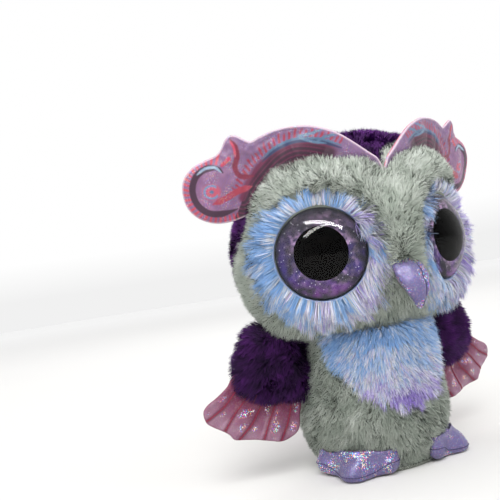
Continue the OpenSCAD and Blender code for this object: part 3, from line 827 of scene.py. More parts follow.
BODY_SIDE = [(32.4, 0.6), (33.0, 2.0), (34.6, 7), (37.8, 15), (40.4, 26), (40.5, 40), (38.6, 60), (37.2, 72),
             (36.4, 79), (34.9, 82.3)]
BODY_TOP = [(33, 82.6), (30, 81.3), (21, 78.2)]
BODY_POINTS = 144
BARE_R = 32.2  # nearer the axis than this no pile grows, because the head covers it
BIB_HALF = math.radians(60)
BOX_R = 23.0  # the wadding's inside, round the sound box
BUTTON_Z = 57.0


def body_radius(z):
    """The body cloth's radius at a height."""
    curve = smooth_line(BODY_SIDE, 6)
    return np.interp(z, curve[:, 1], curve[:, 0])


def bib_low(angle):
    """Height of the bib's lower edge at an angle round from the front."""
    return 40.0 + 33.0 * (np.abs(angle) / BIB_HALF) ** 2.2


def in_bib(p, angle):
    """Which points of the body's skin the bib covers."""
    return (np.abs(angle) < BIB_HALF) & (p[:, 2] > bib_low(angle) + 1.5 * ripple(p, 8, 4))


def make_body_wadding():
    """The filling between the body's cloth and the sound box, thin where the squeeze button presses it."""
    heights = np.linspace(37.5, 79.5, 30)
    a = np.arange(RING_POINTS) * TURN / RING_POINTS
    outer = body_radius(heights)[:, None] - 1.7 + 0 * a
    press = np.hypot(outer * np.sin(a), heights[:, None] - BUTTON_Z) + 100 * (np.cos(a) < 0)
    inner = BOX_R + (outer - 1.5 - BOX_R) * ease(20, 15, press)
    outside, lining = (np.stack([r * np.sin(a), -r * np.cos(a), np.repeat(heights[:, None], len(a), 1)], -1)
                       for r in (outer, inner))
    grid = np.vstack([outside, lining[::-1]])
    points = grid.reshape(-1, 3)
    faces = np.vstack([triangles(grid_faces(len(grid), RING_POINTS, True)),
                       triangles(closing(len(grid), RING_POINTS))])
    k = 10 * RING_POINTS
    faces = turned_out(points, faces, k, points[k] * (1, 1, 0))
    wadding = mesh_object("body_wadding", points, faces, white_wadding)
    finish_piece(wadding, "torso", "stuffing", "body_stuffing")


def make_body():
    """The body's cloth with its grey pile, and the bib's longer pile combed down and apart."""
    profile = np.vstack([smooth_line(BODY_SIDE, 6), BODY_TOP])
    points = revolve(profile, BODY_POINTS, (np.eye(3), np.zeros(3)))
    faces = triangles(grid_faces(len(profile), BODY_POINTS, True))
    points[:, :2] *= (1 + 0.012 * ripple(points, 30, 6))[:, None]
    cloth = mesh_object("body_cloth", points, faces, grey_knit)
    shell(cloth, SKIN_THICK)
    finish_piece(cloth, "torso", "grey_plush", "body_skin")
    make_body_wadding()

    roots, normals = scatter(points, faces, 3.6, 12)
    shown = np.hypot(roots[:, 0], roots[:, 1]) > BARE_R
    roots, normals = roots[shown], normals[shown]
    grey = ~in_bib(roots, np.arctan2(roots[:, 0], -roots[:, 1]))
    r, n = roots[grey], normals[grey]
    comb = tangent(np.array([0, 0, -1.0]), n) * 0.55 + 0.28 * swirl(r, n, 24)
    tone = 0.5 + 0.13 * ripple(r, 12, 37) + 0.12 * ripple(r, 4, 38)
    length = 6.8 - 2.4 * ease(16, 1, r[:, 2])
    pile("body_pile", "torso", "grey_plush", grey_pile, r, n, comb, length, tone,
         width=0.44, gather=0.34, fray=0.36, tuft=10, seed=44)

    roots, normals = scatter(points, faces, 5.4, 13)
    angle = np.arctan2(roots[:, 0], -roots[:, 1])
    chosen = in_bib(roots, angle) & (np.hypot(roots[:, 0], roots[:, 1]) > BARE_R)
    r, n, angle = roots[chosen], normals[chosen], angle[chosen]
    away = r - np.array([0, -36, 112.0])
    comb = unit(tangent(away, n)) * 1.15 + 0.12 * swirl(r, n, 25)
    drop = (r[:, 2] - 40) / 36
    tone = 0.95 - 0.85 * np.clip(drop, 0, 1) ** 0.8 - 0.2 * np.abs(angle) * (1 - drop)
    tone = tone + 0.09 * ripple(r, 9, 39) + 0.05 * ripple(r, 3, 40)
    # the tufts differ in tone; their pale streaks are partly the pile's own tone, partly painted highlights
    # of glossy fibres
    bib = pile("bib_pile", "torso", "tipped_plush", tipped_pile, r, n, comb, 10.0, tone,
               width=0.46, gather=0.42, fray=0.26, tuft=12, seed=45, streak=0.14)
    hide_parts("belly_patch")


# ---- flat sewn pieces ----

def flat_mesh(outline, step):
    """Even triangles inside an outline: points, faces, distance to the edge and which points are on it."""
    edge = even_loop(outline, step)
    low, high = edge.min(0), edge.max(0)
    rise = step * math.sqrt(3) / 2
    grid = np.array([(x, y) for k, y in enumerate(np.arange(low[1], high[1], rise))
                     for x in np.arange(low[0] + step / 2 * (k % 2), high[0], step)])
    grid = grid[inside(grid, edge)]
    grid = grid[edge_distance(grid, edge) > 0.55 * step]
    every = np.vstack([edge, grid])
    ring = [(k, (k + 1) % len(edge)) for k in range(len(edge))]
    made = geometry.delaunay_2d_cdt([Vector(p) for p in every], ring, [], 1, 1e-7)
    points = np.array([p[:] for p in made[0]])
    faces = np.array([f for f in made[2] if len(f) == 3])
    a, b, c = (points[faces[:, k]] for k in range(3))
    turned = (b[:, 0] - a[:, 0]) * (c[:, 1] - a[:, 1]) - (b[:, 1] - a[:, 1]) * (c[:, 0] - a[:, 0]) < 0
    faces[turned] = faces[turned][:, ::-1]
    gap = edge_distance(points, edge)
    return points, faces, gap, gap < 1e-4


SIM_SCALE = 0.01  # a panel is simulated at ten times its size, where the solver is steady
SIM_FRAMES = 20
COARSE_SMOOTHING = 3


def settle(outline, step, start, held, pressure, cap):
    """Heights of a sewn panel blown out by its filling: a cloth simulation of a coarse copy, pinned at seams.

    start gives the heights it begins with, held the points that are pinned, and cap the most it may rise.
    """
    coarse, faces, gap, rim = flat_mesh(outline, step)
    height = start(coarse, gap)
    pinned = rim | held(coarse, gap)
    mesh = bpy.data.meshes.new("panel")
    mesh.from_pydata((np.column_stack([coarse, height]) * SIM_SCALE).tolist(), [], faces.tolist())
    obj = bpy.data.objects.new("panel", mesh)
    bpy.context.scene.collection.objects.link(obj)
    obj.vertex_groups.new(name="seam").add(np.nonzero(pinned)[0].tolist(), 1.0, "REPLACE")
    cloth = obj.modifiers.new("cloth", "CLOTH")
    rules = cloth.settings
    rules.quality = 6
    rules.mass = 0.15
    rules.tension_stiffness = rules.compression_stiffness = 12
    rules.bending_stiffness = 0.05
    rules.vertex_group_mass = "seam"
    rules.use_pressure = True
    rules.uniform_pressure_force = pressure
    rules.shrink_min = -0.05
    rules.effector_weights.gravity = 0
    cloth.point_cache.frame_start = 1
    cloth.point_cache.frame_end = SIM_FRAMES
    for frame_number in range(1, SIM_FRAMES + 1):
        bpy.context.scene.frame_set(frame_number)
    made = obj.evaluated_get(bpy.context.evaluated_depsgraph_get()).data
    moved = np.empty(len(coarse) * 3, np.float32)
    made.vertices.foreach_get("co", moved)
    height = moved.reshape(-1, 3)[:, 2] / SIM_SCALE
    bpy.context.scene.frame_set(1)
    bpy.data.objects.remove(obj)
    bpy.data.meshes.remove(mesh)
    height = cap * np.tanh(np.maximum(height, 0) / cap)
    tree = BVHTree.FromPolygons([(*p, 0) for p in coarse.tolist()], faces.tolist())

    def at(points, fine_faces):
        """The settled height at points of a finer mesh, smoothed over the coarse facets."""
        found = [tree.find_nearest((*p, 0)) for p in points.tolist()]
        where = np.array([f[0][:2] for f in found])
        corners = faces[[f[2] for f in found]]
        a, b, c = (coarse[corners[:, k]] for k in range(3))
        u, v, w = b - a, c - a, where - a
        size = u[:, 0] * v[:, 1] - u[:, 1] * v[:, 0]
        second = (w[:, 0] * v[:, 1] - w[:, 1] * v[:, 0]) / size
        third = (u[:, 0] * w[:, 1] - u[:, 1] * w[:, 0]) / size
        weights = np.stack([1 - second - third, second, third], 1)
        value = (height[corners] * weights).sum(1)
        for _ in range(COARSE_SMOOTHING):
            value = neighbour_mean(value, fine_faces)
        return value
    return at


def neighbour_mean(value, faces):
    """Each point's value averaged with its neighbours'."""
    total, count = value.copy(), np.ones(len(value))
    for a, b in ((0, 1), (1, 2), (2, 0)):
        np.add.at(total, faces[:, a], value[faces[:, b]])
        np.add.at(total, faces[:, b], value[faces[:, a]])
        np.add.at(count, faces[:, a], 1)
        np.add.at(count, faces[:, b], 1)
    return total / count


def dome_rise(gap, reach):
    """A quarter circle from 0 at an edge to 1 at reach from it."""
    return np.sqrt(np.clip(1 - (1 - np.clip(gap / reach, 0, 1)) ** 2, 0, 1))


def two_sided(flat, front, back):
    """A closed form from a flat mesh and the heights of its two faces, which meet at the edge."""
    points, faces, _, rim = flat
    top = np.column_stack([points, front])
    index = np.arange(len(points))
    index[~rim] = len(points) + np.arange((~rim).sum())
    bottom = np.column_stack([points, back])[~rim]
    return np.vstack([top, bottom]), faces, index[faces][:, ::-1]


def halves(flat, front, back, frame_of, side):
    """The two faces of a sewn piece as separate skins of one outline."""
    points, faces, _, _ = flat
    made = []
    for height, turn in ((front, side), (back, -side)):
        placed = mirrored(place(np.column_stack([points, height]), frame_of), side)
        made.append((placed, faces[:, ::turn]))
    return made


def planar_uv(points):
    """A flat piece's points, fitted into the UV square."""
    low = points.min(0)
    return (points - low) / (points.max(0) - low).max() * 0.96 + 0.02


def panel(name, skin, flat, material, thick, body, slot, node, colour=None, glitter=None):
    """One face of a flat sewn piece, printed where it is given colours and shares of glitter."""
    obj = mesh_object(name, *skin, material)
    set_uv(obj, planar_uv(flat[0]))
    if colour is not None:
        paint(obj, "print", colour)
        paint(obj, "glitter", glitter[:, None])
    shell(obj, thick)
    finish_piece(obj, body, slot, node)


THREAD_SIDES = 8


def thread(name, path, radius, pitch, material, body, slot):
    """Stitching: a thread along a path in mm that swells between its needle holes."""
    path = even_line(path, pitch / 5)
    way = unit(np.gradient(path, axis=0))
    aside = unit(np.cross(way, np.array([0.3, 0.2, 0.93])))
    up = np.cross(aside, way)
    run = np.arange(len(path)) / 5
    swell = radius * (0.45 + 0.55 * np.abs(np.sin(run * math.pi)))
    a = np.arange(THREAD_SIDES) * TURN / THREAD_SIDES
    rings = path[:, None] + swell[:, None, None] * (aside[:, None] * np.cos(a)[:, None]
                                                    + up[:, None] * np.sin(a)[:, None])
    points = np.vstack([rings.reshape(-1, 3), path[:1], path[-1:]])
    j, k = around(THREAD_SIDES)
    last = (len(path) - 1) * THREAD_SIDES
    faces = np.vstack([triangles(grid_faces(len(path), THREAD_SIDES, True)), fan(len(points) - 2, k, j),
                       fan(len(points) - 1, last + j, last + k)])
    finish_piece(mesh_object(name, points, faces, material), body, slot)


def stitch(names, lines, points, puff, wave, lift, place_on, radius, pitch, body, slot):
    """Threads along a flat piece's sewn lines, on its front and its back, lift above its heights there."""
    tree = kdtree.KDTree(len(points))
    for k, p in enumerate(points):
        tree.insert((*p, 0), k)
    tree.balance()
    for number, line in enumerate(lines):
        near = [tree.find((*p, 0))[1] for p in line]
        for up, name in zip((1, -1), names):
            path = place_on(np.column_stack([line, up * (puff[near] + lift) + wave[near]]))
            thread("%s_%d" % (name, number + 1), path, radius, pitch, red_thread, body, slot)


# ---- painting flat pieces ----

def blot(colour, *coats):
    """Colours with coats of (share, colour code) painted over them in turn."""
    for share, code in coats:
        colour = colour + (linear(code) - colour) * np.clip(share, 0, 1)[:, None]
    return colour


BRUSH_STEPS = 10
BRUSH_SOFT = 0.45


def stroke(colour, p, line, width, code):
    """A painted line that tapers at both ends."""
    gap, _, run = along(p, smooth_line(line, BRUSH_STEPS))
    t = run / max(run.max(), 1e-6)
    half = width / 2 * np.clip(np.minimum((t + 0.02) * 6, (1.02 - t) * 6), 0.15, 1)
    return blot(colour, (ease(half + BRUSH_SOFT, half - BRUSH_SOFT * 0.3, gap), code))


def hatching(colour, p, line, near, far, pitch, code, slant=0.25):
    """Short painted strokes across the space beside a line."""
    gap, side, run = along(p, smooth_line(line, BRUSH_STEPS))
    s = gap * side
    wave = np.sin((run + slant * s) * TURN / pitch)
    window = ease(near, near + 0.8, s) * (1 - ease(far - 1.5, far, s + 0.8 * np.sin(run * 1.7)))
    ends = ease(0, 2, run) * (1 - ease(run.max() - 2, run.max(), run))
    return blot(colour, (ease(-0.1, 0.5, wave) * window * ends, code))


# ---- horns ----

HORN_OUTLINE = [(3, -8), (2.4, 1), (8, 7), (20, 17.5), (28, 22.4), (38, 26), (49, 27), (58, 26.3),
                (64.5, 24.7), (70.4, 22.6), (74, 24.2), (77.5, 26.6), (81, 27.6), (84.4, 25.8), (87.4, 21.4),
                (91, 18), (97, 16.3), (105, 13.4), (111, 8), (113.3, 0.3), (112, -9), (106.5, -16), (98, -20),
                (89, -20.4), (80, -18.6), (60, -14), (30, -12)]
HORN_BAND = [(22, 10), (34, 15.5), (46, 17.2), (57, 14.8), (66, 9.4), (74, 1.5), (80, -8)]
HORN_CURL = [(81.5, 25.4), (79.4, 21), (79.3, 15.5), (81.5, 9.5), (79, 4.5), (72, 3.5)]
LOBE_RING = [(88.5, 8.2), (91, 11), (97, 11.6), (103.5, 8.5), (107, 1.5), (106.2, -6.5), (101, -12.5),
             (93, -14.6), (84, -13.4)]
LOBE_EYE = (96.5, -1.5)
PANEL_CLOTH = 0.3
PANEL_RIM = 0.17  # a panel's height where it is sewn, so that its two cloths don't cross


def horn_colours(p, gap):
    """The horn's print: a banded sweep with hatching and swirls, a curl, and a ringed lobe at its end, with a
    painted highlight along the sewn edge.
    """
    grain = 0.5 + 0.5 * ripple(p, 5, 71)
    colour = blot(linear("70557a"), (grain * 0.6, "8e6a8a"), (ease(60, 110, p[:, 0]) * 0.35, "a8668f"),
                  (ease(0.2, 0.9, ripple(p, 1.3, 74)) * 0.3, "7d5aa6"))
    beside, side, run = along(p, smooth_line(HORN_BAND, BRUSH_STEPS))
    s = beside * side
    streaks = ease(0.2, 0.9, np.sin(s * 2.6 + 1.5 * np.sin(run * 0.16)))
    colour = blot(colour, (ease(3.6, 1.0, s) * ease(0, 8, run) * (s > -30), "6b1c45"),
                  (ease(0.8, -2.0, s) * ease(0, 6, run), "33082a"),
                  (streaks * ease(1.5, -0.5, s) * ease(4, 14, run) * 0.5, "7d2250"))
    colour = hatching(colour, p, HORN_BAND, 2.6, 8.2, 2.6, "9c2844")
    for line, width, code in (([(a, b + 2.7) for a, b in HORN_BAND[:5]], 1.2, "4c6a8a"),
                              ([(a, b + 1.2) for a, b in HORN_BAND[:5]], 1.3, "26335c"),
                              ([(30, 23), (38, 21.5), (44, 21), (38, 17.5), (30, 15)], 1.2, "587896"),
                              ([(24, 19), (30, 18.5), (35, 17)], 1.3, "55708f"),
                              (HORN_CURL, 2.6, "7d1c3c"),
                              ([(81.7, 24.6), (80.2, 20.6), (80.3, 15.6)], 0.9, "c8435f")):
        colour = stroke(colour, p, line, width, code)
    colour = hatching(colour, p, LOBE_RING, 1.4, 9.0, 2.3, "c63a52", 0.1)
    colour = stroke(colour, p, LOBE_RING, 3.4, "3d1836")
    colour = stroke(colour, p, [(89.5, 8.6), (92.5, 11.6), (98, 11.8), (103, 9.2)], 1.1, "8fa8c0")
    ring = np.hypot(p[:, 0] - LOBE_EYE[0], (p[:, 1] - LOBE_EYE[1]) * 1.15)
    colour = blot(colour, (ease(6.4, 3.6, ring) * 0.85, "c64c63"),
                  (ease(1.0, 0.35, np.abs(ring - 4.1)) * (p[:, 0] > LOBE_EYE[0] - 3), "6c86ad"),
                  (ease(1.6, 0.9, ring), "53688f"))
    colour = stroke(colour, p, [(74, -2), (82, -3.5), (90, -6.5), (97, -8.5)], 3.2, "a8334c")
    # a pale line along the sewn edge: a painted highlight where the cloth rolls over the seam
    return blot(colour, (ease(1.3, 0.2, gap) * 0.75, "ecd6e4"))


horn_puff = settle(smooth_loop(HORN_OUTLINE), 1.7, lambda p, gap: 0.9 * dome_rise(gap, 7),
                   lambda p, gap: along(p, smooth_line(HORN_CURL, 6))[0] < 0.9, 1.2, 2.6)


def make_horn(side, name):
    """A thin stuffed horn, held down along its curl: a printed front and a coral back."""
    flat = flat_mesh(smooth_loop(HORN_OUTLINE), 0.55)
    points, faces, gap, rim = flat
    frame_of = plane(HORN_ROOT, math.pi / 2 + HORN_LEAN, HORN_SWEEP)
    buckle = 0.5 * ripple(points, 22, 72) * ease(0, 6, gap)
    puff = 0.4 + horn_puff(points, faces) - 0.2 * ease(1.0, 0.3, np.abs(gap - 1.6))
    puff[rim] = PANEL_RIM
    front, back = halves(flat, puff + buckle, -puff * 0.9 + buckle, frame_of, side)
    colour = horn_colours(points, gap)
    glitter = ease(0.05, 0.3, colour.mean(1)) * (0.25 + 0.3 * ripple(points, 14, 73))
    panel("horn_front_%s_cloth" % name, front, flat, horn_print, PANEL_CLOTH, "head", "printed_satin",
          "horn_front_" + name, colour, glitter)
    panel("horn_back_%s_cloth" % name, back, flat, coral_glitter, PANEL_CLOTH, "head", "glitter_coral",
          "horn_back_" + name)


# ---- beak ----

BEAK_SPINE = [(-54.5, 120.0), (-59.0, 114.5), (-62.8, 107.0), (-65.0, 99.0), (-65.2, 91.0)]
BEAK_WIDTH = [8.4, 10.4, 9.4, 6.2, 1.2]
BEAK_DEPTH = [4.5, 6.6, 7.2, 5.4, 1.4]
BEAK_SIDES = 64
BEAK_SEAM = BEAK_SIDES // 2 - BEAK_SIDES // 14


def make_beak():
    """The stuffed beak, drawn in along the seam down its left side."""
    steps = 12
    spine = smooth_line(BEAK_SPINE, steps)
    wide = smooth_line([[w] for w in BEAK_WIDTH], steps)
    deep = smooth_line([[d] for d in BEAK_DEPTH], steps)
    a = np.arange(BEAK_SIDES) * TURN / BEAK_SIDES
    seam = 1 - 0.1 * np.exp(-((a - math.pi + TURN / 14) / 0.13) ** 2)
    bulge = 1 + 0.02 * np.sin(a * 6)
    grid = np.stack([wide * np.sin(a) * seam * bulge, spine[:, :1] + deep * np.cos(a) * seam * bulge,
                     spine[:, 1:] + 0.25 * deep * np.cos(a)], -1)
    tip, root = [0, *(spine[-1] + (0, -0.8))], [0, *spine[0]]
    points = np.vstack([grid.reshape(-1, 3), [tip, root]])
    j, k = around(BEAK_SIDES)
    last = (len(spine) - 1) * BEAK_SIDES
    caps = np.vstack([fan(len(points) - 2, last + k, last + j), fan(len(points) - 1, j, k)])
    faces = np.vstack([triangles(grid_faces(len(spine), BEAK_SIDES, True)), caps[:, ::-1]])
    points[:, 0] = points[:, 0] * 0.93 - 0.8 + 0.3 * ripple(points, 7, 81)
    faces = turned_out(points, faces, BEAK_SIDES // 2 + 20 * BEAK_SIDES, (0, -1, 0))
    beak = mesh_object("beak_cloth", points, faces, foot_glitter)
    finish_piece(beak, "head", "glitter_lilac", "beak")
    line = points[:-2].reshape(len(spine), BEAK_SIDES, 3)[6:-2, BEAK_SEAM] + np.array([0.1, -0.2, 0])
    thread("beak_seam", line, 0.32, 2.2, dark_thread, "head", "glitter_lilac")


# ---- feet ----

FOOT_OUTLINE = [(-17.5, 33), (-21.5, 31), (-23, 34.5), (-21, 39.5), (-16.5, 40.8), (-12, 41.8), (-9, 46),
                (-5.5, 51), (0, 53), (5.5, 51), (9, 46.5), (12.5, 43), (18, 42), (24, 40), (26, 35),
                (24, 31), (19.5, 32), (10.5, 37.4), (0, 38.8), (-10.5, 37.4)]
FOOT_TOP = 16.5
FOOT_EDGE = 3.2
FOOT_HEEL = [(-25, 30), (-20, 32), (-10.5, 38), (0, 39.6), (10.5, 38), (19.5, 32.4), (25, 30)]
FOOT_RIDGE = np.array([(-20, 35), (-9, 42), (0, 44.5), (10, 42), (21, 35.5)], float)
FORWARD = np.array([1, -1, 1])  # a foot is drawn with its toes towards +Y
HEEL_NEAR = 1.6


def foot_seam(p):
    """Height of the foot's seam: near the table at the middle toe, higher round the side toes."""
    return FOOT_EDGE + 4.6 * ease(9, 21, np.abs(p[:, 0]))


def foot_form(p, gap):
    """The foot's height over its seam: rounded at the toes, full at the heel, under the body's pile."""
    heel = along(p, smooth_line(FOOT_HEEL))[0]
    toe = np.where(heel < HEEL_NEAR, 7.0, gap)
    ends = 1 - 0.6 * ease(7, 20, np.abs(p[:, 0]))
    return (FOOT_TOP - 0.5 * (p[:, 1] - 32)) * ends * dome_rise(toe, 6.5)


foot_puff = settle(smooth_loop(FOOT_OUTLINE), 1.2, foot_form, lambda p, gap: gap < 0.1, 2.0, 26.0)


def make_foot(side, name):
    """A three-toed stuffed foot, ridged where the toes meet, with a thread round its seam."""
    outline = smooth_loop(FOOT_OUTLINE)
    flat = flat_mesh(outline, 0.6)
    points, faces, gap, rim = flat
    back = rim & ~(along(points, smooth_line(FOOT_HEEL))[0] < HEEL_NEAR)
    seam = foot_seam(points)
    top = np.minimum(seam + foot_puff(points, faces), FOOT_TOP)
    top += 1.9 * dome_rise(gap, 5.0) * np.exp(-(along(points, FOOT_RIDGE)[0] / 1.5) ** 2)
    top[back] = seam[back]
    bottom = seam - (seam - 0.25) * dome_rise(gap, 2.6 + 0.9 * (seam - FOOT_EDGE))
    turn = plane((0, 0, 0), 0, FOOT_YAW)
    every, upper, lower = two_sided(flat, top, bottom)
    behind = ease(6, 1, along(every[:, :2], smooth_line(FOOT_HEEL))[0])
    every[:, 1] += behind * np.maximum(every[:, 2] - 4, 0) * math.tan(FOOT_TIP)
    every = mirrored(place(every * FORWARD, turn), side)
    foot = mesh_object("foot_%s_cloth" % name, every, np.vstack([upper, lower])[:, ::-side], foot_glitter)
    finish_piece(foot, "foot_" + name, "glitter_lilac", "foot_" + name)

    edge = even_loop(outline, 0.5)
    hidden = (np.hypot(edge[:, 0], edge[:, 1]) < 42.5) & (np.abs(edge[:, 0]) < 22)
    first = int(np.argmax(hidden & ~np.roll(hidden, -1)))
    line = np.column_stack([edge, foot_seam(edge)])
    line = np.roll(line, -first - 1, 0)[:int((~hidden).sum())]
    line = mirrored(place(line * FORWARD, turn), side)
    thread("foot_seam_" + name, line, 0.3, 1.8, dark_thread, "foot_" + name, "glitter_lilac")


# ---- wings ----

WING_OUTLINE = [(1.4, 50), (1.4, 81), (13, 88), (28, 88.5), (35.5, 79), (39.5, 66), (37, 55), (27, 49.5),
                (14, 48), (6, 48)]
FEATHER_OUTLINE = [(10, 52), (5.5, 43.6), (7, 35.6), (8.5, 28.5), (11.4, 25), (16.4, 22.7), (21, 22.4),
                   (26, 23.9), (35, 25.9), (39, 26.6), (47, 28.4), (50, 32), (53, 34.2), (59, 38), (62, 41),
                   (63, 46.5), (60.5, 50.4), (54.4, 53.9), (47.5, 58.8), (44, 63.5), (38, 68), (24, 64)]
RIBS = [[(36, 60), (42.9, 55.5), (51.4, 47.7), (62.1, 41.7)],
        [(33, 56), (38, 50.2), (46, 42.2), (52.2, 34.4)],
        [(25, 54), (28.4, 46.2), (35.6, 36.4), (44.4, 28.2)],
        [(18, 53), (21.2, 44.3), (26.1, 34.6), (30.4, 25.4)],
        [(11, 50), (11.7, 42), (15.6, 31.5), (20.4, 22.8)]]
PLUSH_EDGE = [(0, 47), (12, 45.5), (24, 48), (33, 49.5), (40, 56), (45, 66)]
FEATHER_RIM = 0.12


def near_lines(p, lines):
    """Distance to the nearest of some lines."""
    return np.min([along(p, smooth_line(line))[0] for line in lines], 0)


feather_puff = settle(smooth_loop(FEATHER_OUTLINE), 1.25, lambda p, gap: 0.7 * dome_rise(gap, 4),
                      lambda p, gap: near_lines(p, RIBS) < 0.7, 2.6, 2.4)


def make_wing(side, name):
    """The stuffed plush wing, and the feather tip sewn into it."""
    frame_of = plane(WING_ROOT, math.pi / 2, WING_SWEEP)
    body = "wing_" + name
    flat = flat_mesh(smooth_loop(WING_OUTLINE), 1.1)
    points, _, gap, _ = flat
    puff = 6.6 * dome_rise(gap, 14) + 0.4 * ripple(points, 12, 83) * ease(0, 6, gap)
    every, upper, lower = two_sided(flat, puff, -puff)
    every = mirrored(place(every, frame_of), side)
    faces = np.vstack([upper, lower])[:, ::side]
    core = mesh_object("wing_%s_cloth" % name, every, faces, purple_knit)
    finish_piece(core, body, "purple_plush", "wing_" + name)
    roots, normals = scatter(every, faces, 3.6, 14)
    outward = np.array([side * math.cos(WING_SWEEP), math.sin(WING_SWEEP), -0.9])
    comb = tangent(outward, normals) * 0.5 + 0.35 * swirl(roots, normals, 26)
    tone = 0.28 + 0.15 * ripple(roots, 12, 41) + 0.12 * ripple(roots, 4, 42)
    pile("wing_%s_pile" % name, body, "purple_plush", purple_pile, roots, normals, comb, 7.2, tone,
         width=0.5, seed=46 + side)
    make_feathers(side, name, body, frame_of)


def make_feathers(side, name, body, frame_of):
    """The satin feather tip, waved across its stitched ribs, darker where it leaves the plush."""
    flat = flat_mesh(smooth_loop(FEATHER_OUTLINE), 0.55)
    points, faces, gap, rim = flat
    lines = [smooth_line(rib) for rib in RIBS]
    to_rib = near_lines(points, RIBS)
    fold = sum(along(points, line)[1] for line in lines)
    puff = 0.3 + feather_puff(points, faces)
    puff[rim] = FEATHER_RIM
    wave = 0.9 * np.sin(fold * 1.3) * ease(0, 3, to_rib) + 0.5 * ripple(points, 15, 84)
    down, over, _ = along(points, smooth_line(PLUSH_EDGE))
    drop = np.where(over < 0, down, 0)
    colour = blot(linear("6c0c40"), (ease(3, 27, drop) * 0.95, "a07c92"),
                  (0.2 + 0.2 * ripple(points, 8, 85), "7c2f5c"), (ease(2.0, 0.4, to_rib) * 0.9, "6a1438"),
                  (ease(1.0, 0.25, gap) * 0.6, "8d2a57"))
    patches = ease(0.2, 0.8, ripple(points, 11, 86)) * ease(1.2, 3.5, to_rib) * ease(1, 4, gap)
    for skin, what in zip(halves(flat, puff + wave, -puff + wave, frame_of, side), ("front", "back")):
        panel("feathers_%s_%s_cloth" % (name, what), skin, flat, feather_satin, 0.2, body,
              "feather_satin", "wing_feathers_" + name, colour, 0.05 + 0.95 * patches)
    stitch(("rib_%s_front" % name, "rib_%s_back" % name), lines, points, puff, wave, 0.15,
           lambda p: mirrored(place(p, frame_of), side), 0.3, 1.6, body, "feather_satin")


# ---- tail ----

TAIL_OUTLINE = [(1.2, -8), (0.6, 0), (1, 8.6), (7.7, 10.4), (11.4, 24), (14.6, 28), (18.4, 29), (21, 35),
                (23.7, 39.4), (28, 41.5), (39.6, 41), (44, 40), (48, 36), (53, 30), (58, 26.6), (63.6, 23),
                (65.7, 17.5), (66.8, 7), (69, -6.4), (68.4, -11.7), (65, -16.5), (61.4, -20), (61.7, -26.6),
                (59.6, -28.5), (52, -28.5), (42, -27), (35.4, -25.8), (28, -23), (17.3, -18.6), (6.6, -13.3)]
QUILT = [[(1.4, 0), (12, -6.4), (20.5, -7.4), (30, -3.7), (36, 0)],
         [(29.6, 40.8), (27.4, 28), (26, 12), (26.9, 3), (30.6, -3.7), (44, -16), (55, -23.4), (59.4, -27.4)],
         [(18.2, 28.4), (17.3, 12), (18, 1.6), (20.5, -7), (28, -17.5), (34.6, -25)]]
EYESPOT = (48.7, 12.8)
EYESPOT_RINGS = [(15.3, 20), (11, 14), (6, 8), (4.4, 6.3)]


def tail_colours(p, gap):
    """The tail's print: pink and blue washes and one ringed oval spot, with painted shade beside its quilted
    seams, and a darker hem.
    """
    middle_pink = np.exp(-((p[:, 0] - 24) / 15) ** 2 - ((p[:, 1] + 2) / 17) ** 2)
    across, up = p[:, 0] - EYESPOT[0], p[:, 1] - EYESPOT[1]
    outer, inner, small, core = (np.hypot(across / a, up / b) for a, b in EYESPOT_RINGS)
    colour = blot(linear("a77bbd"), ((0.5 + 0.5 * ripple(p, 10, 91)) * 0.5, "c78bc0"),
                  (middle_pink, "dc7fab"), (ease(18, 38, p[:, 1]) * 0.6, "8d72b8"),
                  (ease(12, 2, p[:, 0]) * 0.9, "9db3e0"),
                  (ease(30, 50, p[:, 0]) * ease(0, -20, p[:, 1]) * 0.6, "c9a3cd"),
                  (ease(1.03, 0.98, outer), "cf3f7d"), (ease(1.04, 0.97, inner), "c3cbe6"),
                  (ease(1.04, 0.97, inner) * ease(-4, 8, across - up * 0.3) * 0.5, "a9a4d6"),
                  (ease(1.06, 0.95, small), "cf3f7d"), (ease(1.07, 0.93, core), "d98bb4"))
    # a magenta band beside each quilted seam: painted shade in the crease that the quilting pulls in
    seam_shade = [(ease(2.4, 0.4, along(p, smooth_line(line))[0]) * 0.7, "c03a70") for line in QUILT]
    return blot(colour, *seam_shade, (ease(1.2, 0.3, gap) * 0.7, "b8407f"))


tail_puff = settle(smooth_loop(TAIL_OUTLINE), 1.7, lambda p, gap: 1.0 * dome_rise(gap, 6),
                   lambda p, gap: near_lines(p, QUILT) < 0.9, 2.4, 3.0)


def make_tail():
    """The quilted tail, turned to the owl's left: a printed panel and a coral one."""
    frame_of = plane(TAIL_ROOT, math.pi / 2, TAIL_TURN)
    flat = flat_mesh(smooth_loop(TAIL_OUTLINE), 0.6)
    points, faces, gap, rim = flat
    puff = 0.3 + tail_puff(points, faces)
    puff[rim] = PANEL_RIM
    coral, printed = halves(flat, puff, -puff, frame_of, 1)
    glitter = 0.1 + 0.9 * ease(9, 3, gap) * ease(25, 40, points[:, 0] + points[:, 1] * 0.4)
    panel("tail_back_cloth", coral, flat, coral_glitter, PANEL_CLOTH, "tail", "glitter_coral",
          "tail_back_panel")
    panel("tail_print_cloth", printed, flat, tail_print, PANEL_CLOTH, "tail", "printed_satin",
          "tail_print_panel", tail_colours(points, gap), glitter)
    stitch(("tail_quilting_back", "tail_quilting_print"), [smooth_line(line) for line in QUILT], points, puff,
           0 * puff, 0.1, lambda p: place(p, frame_of), 0.34, 2.0, "tail", "printed_satin")


# ---- hard parts that come from the CAD ----

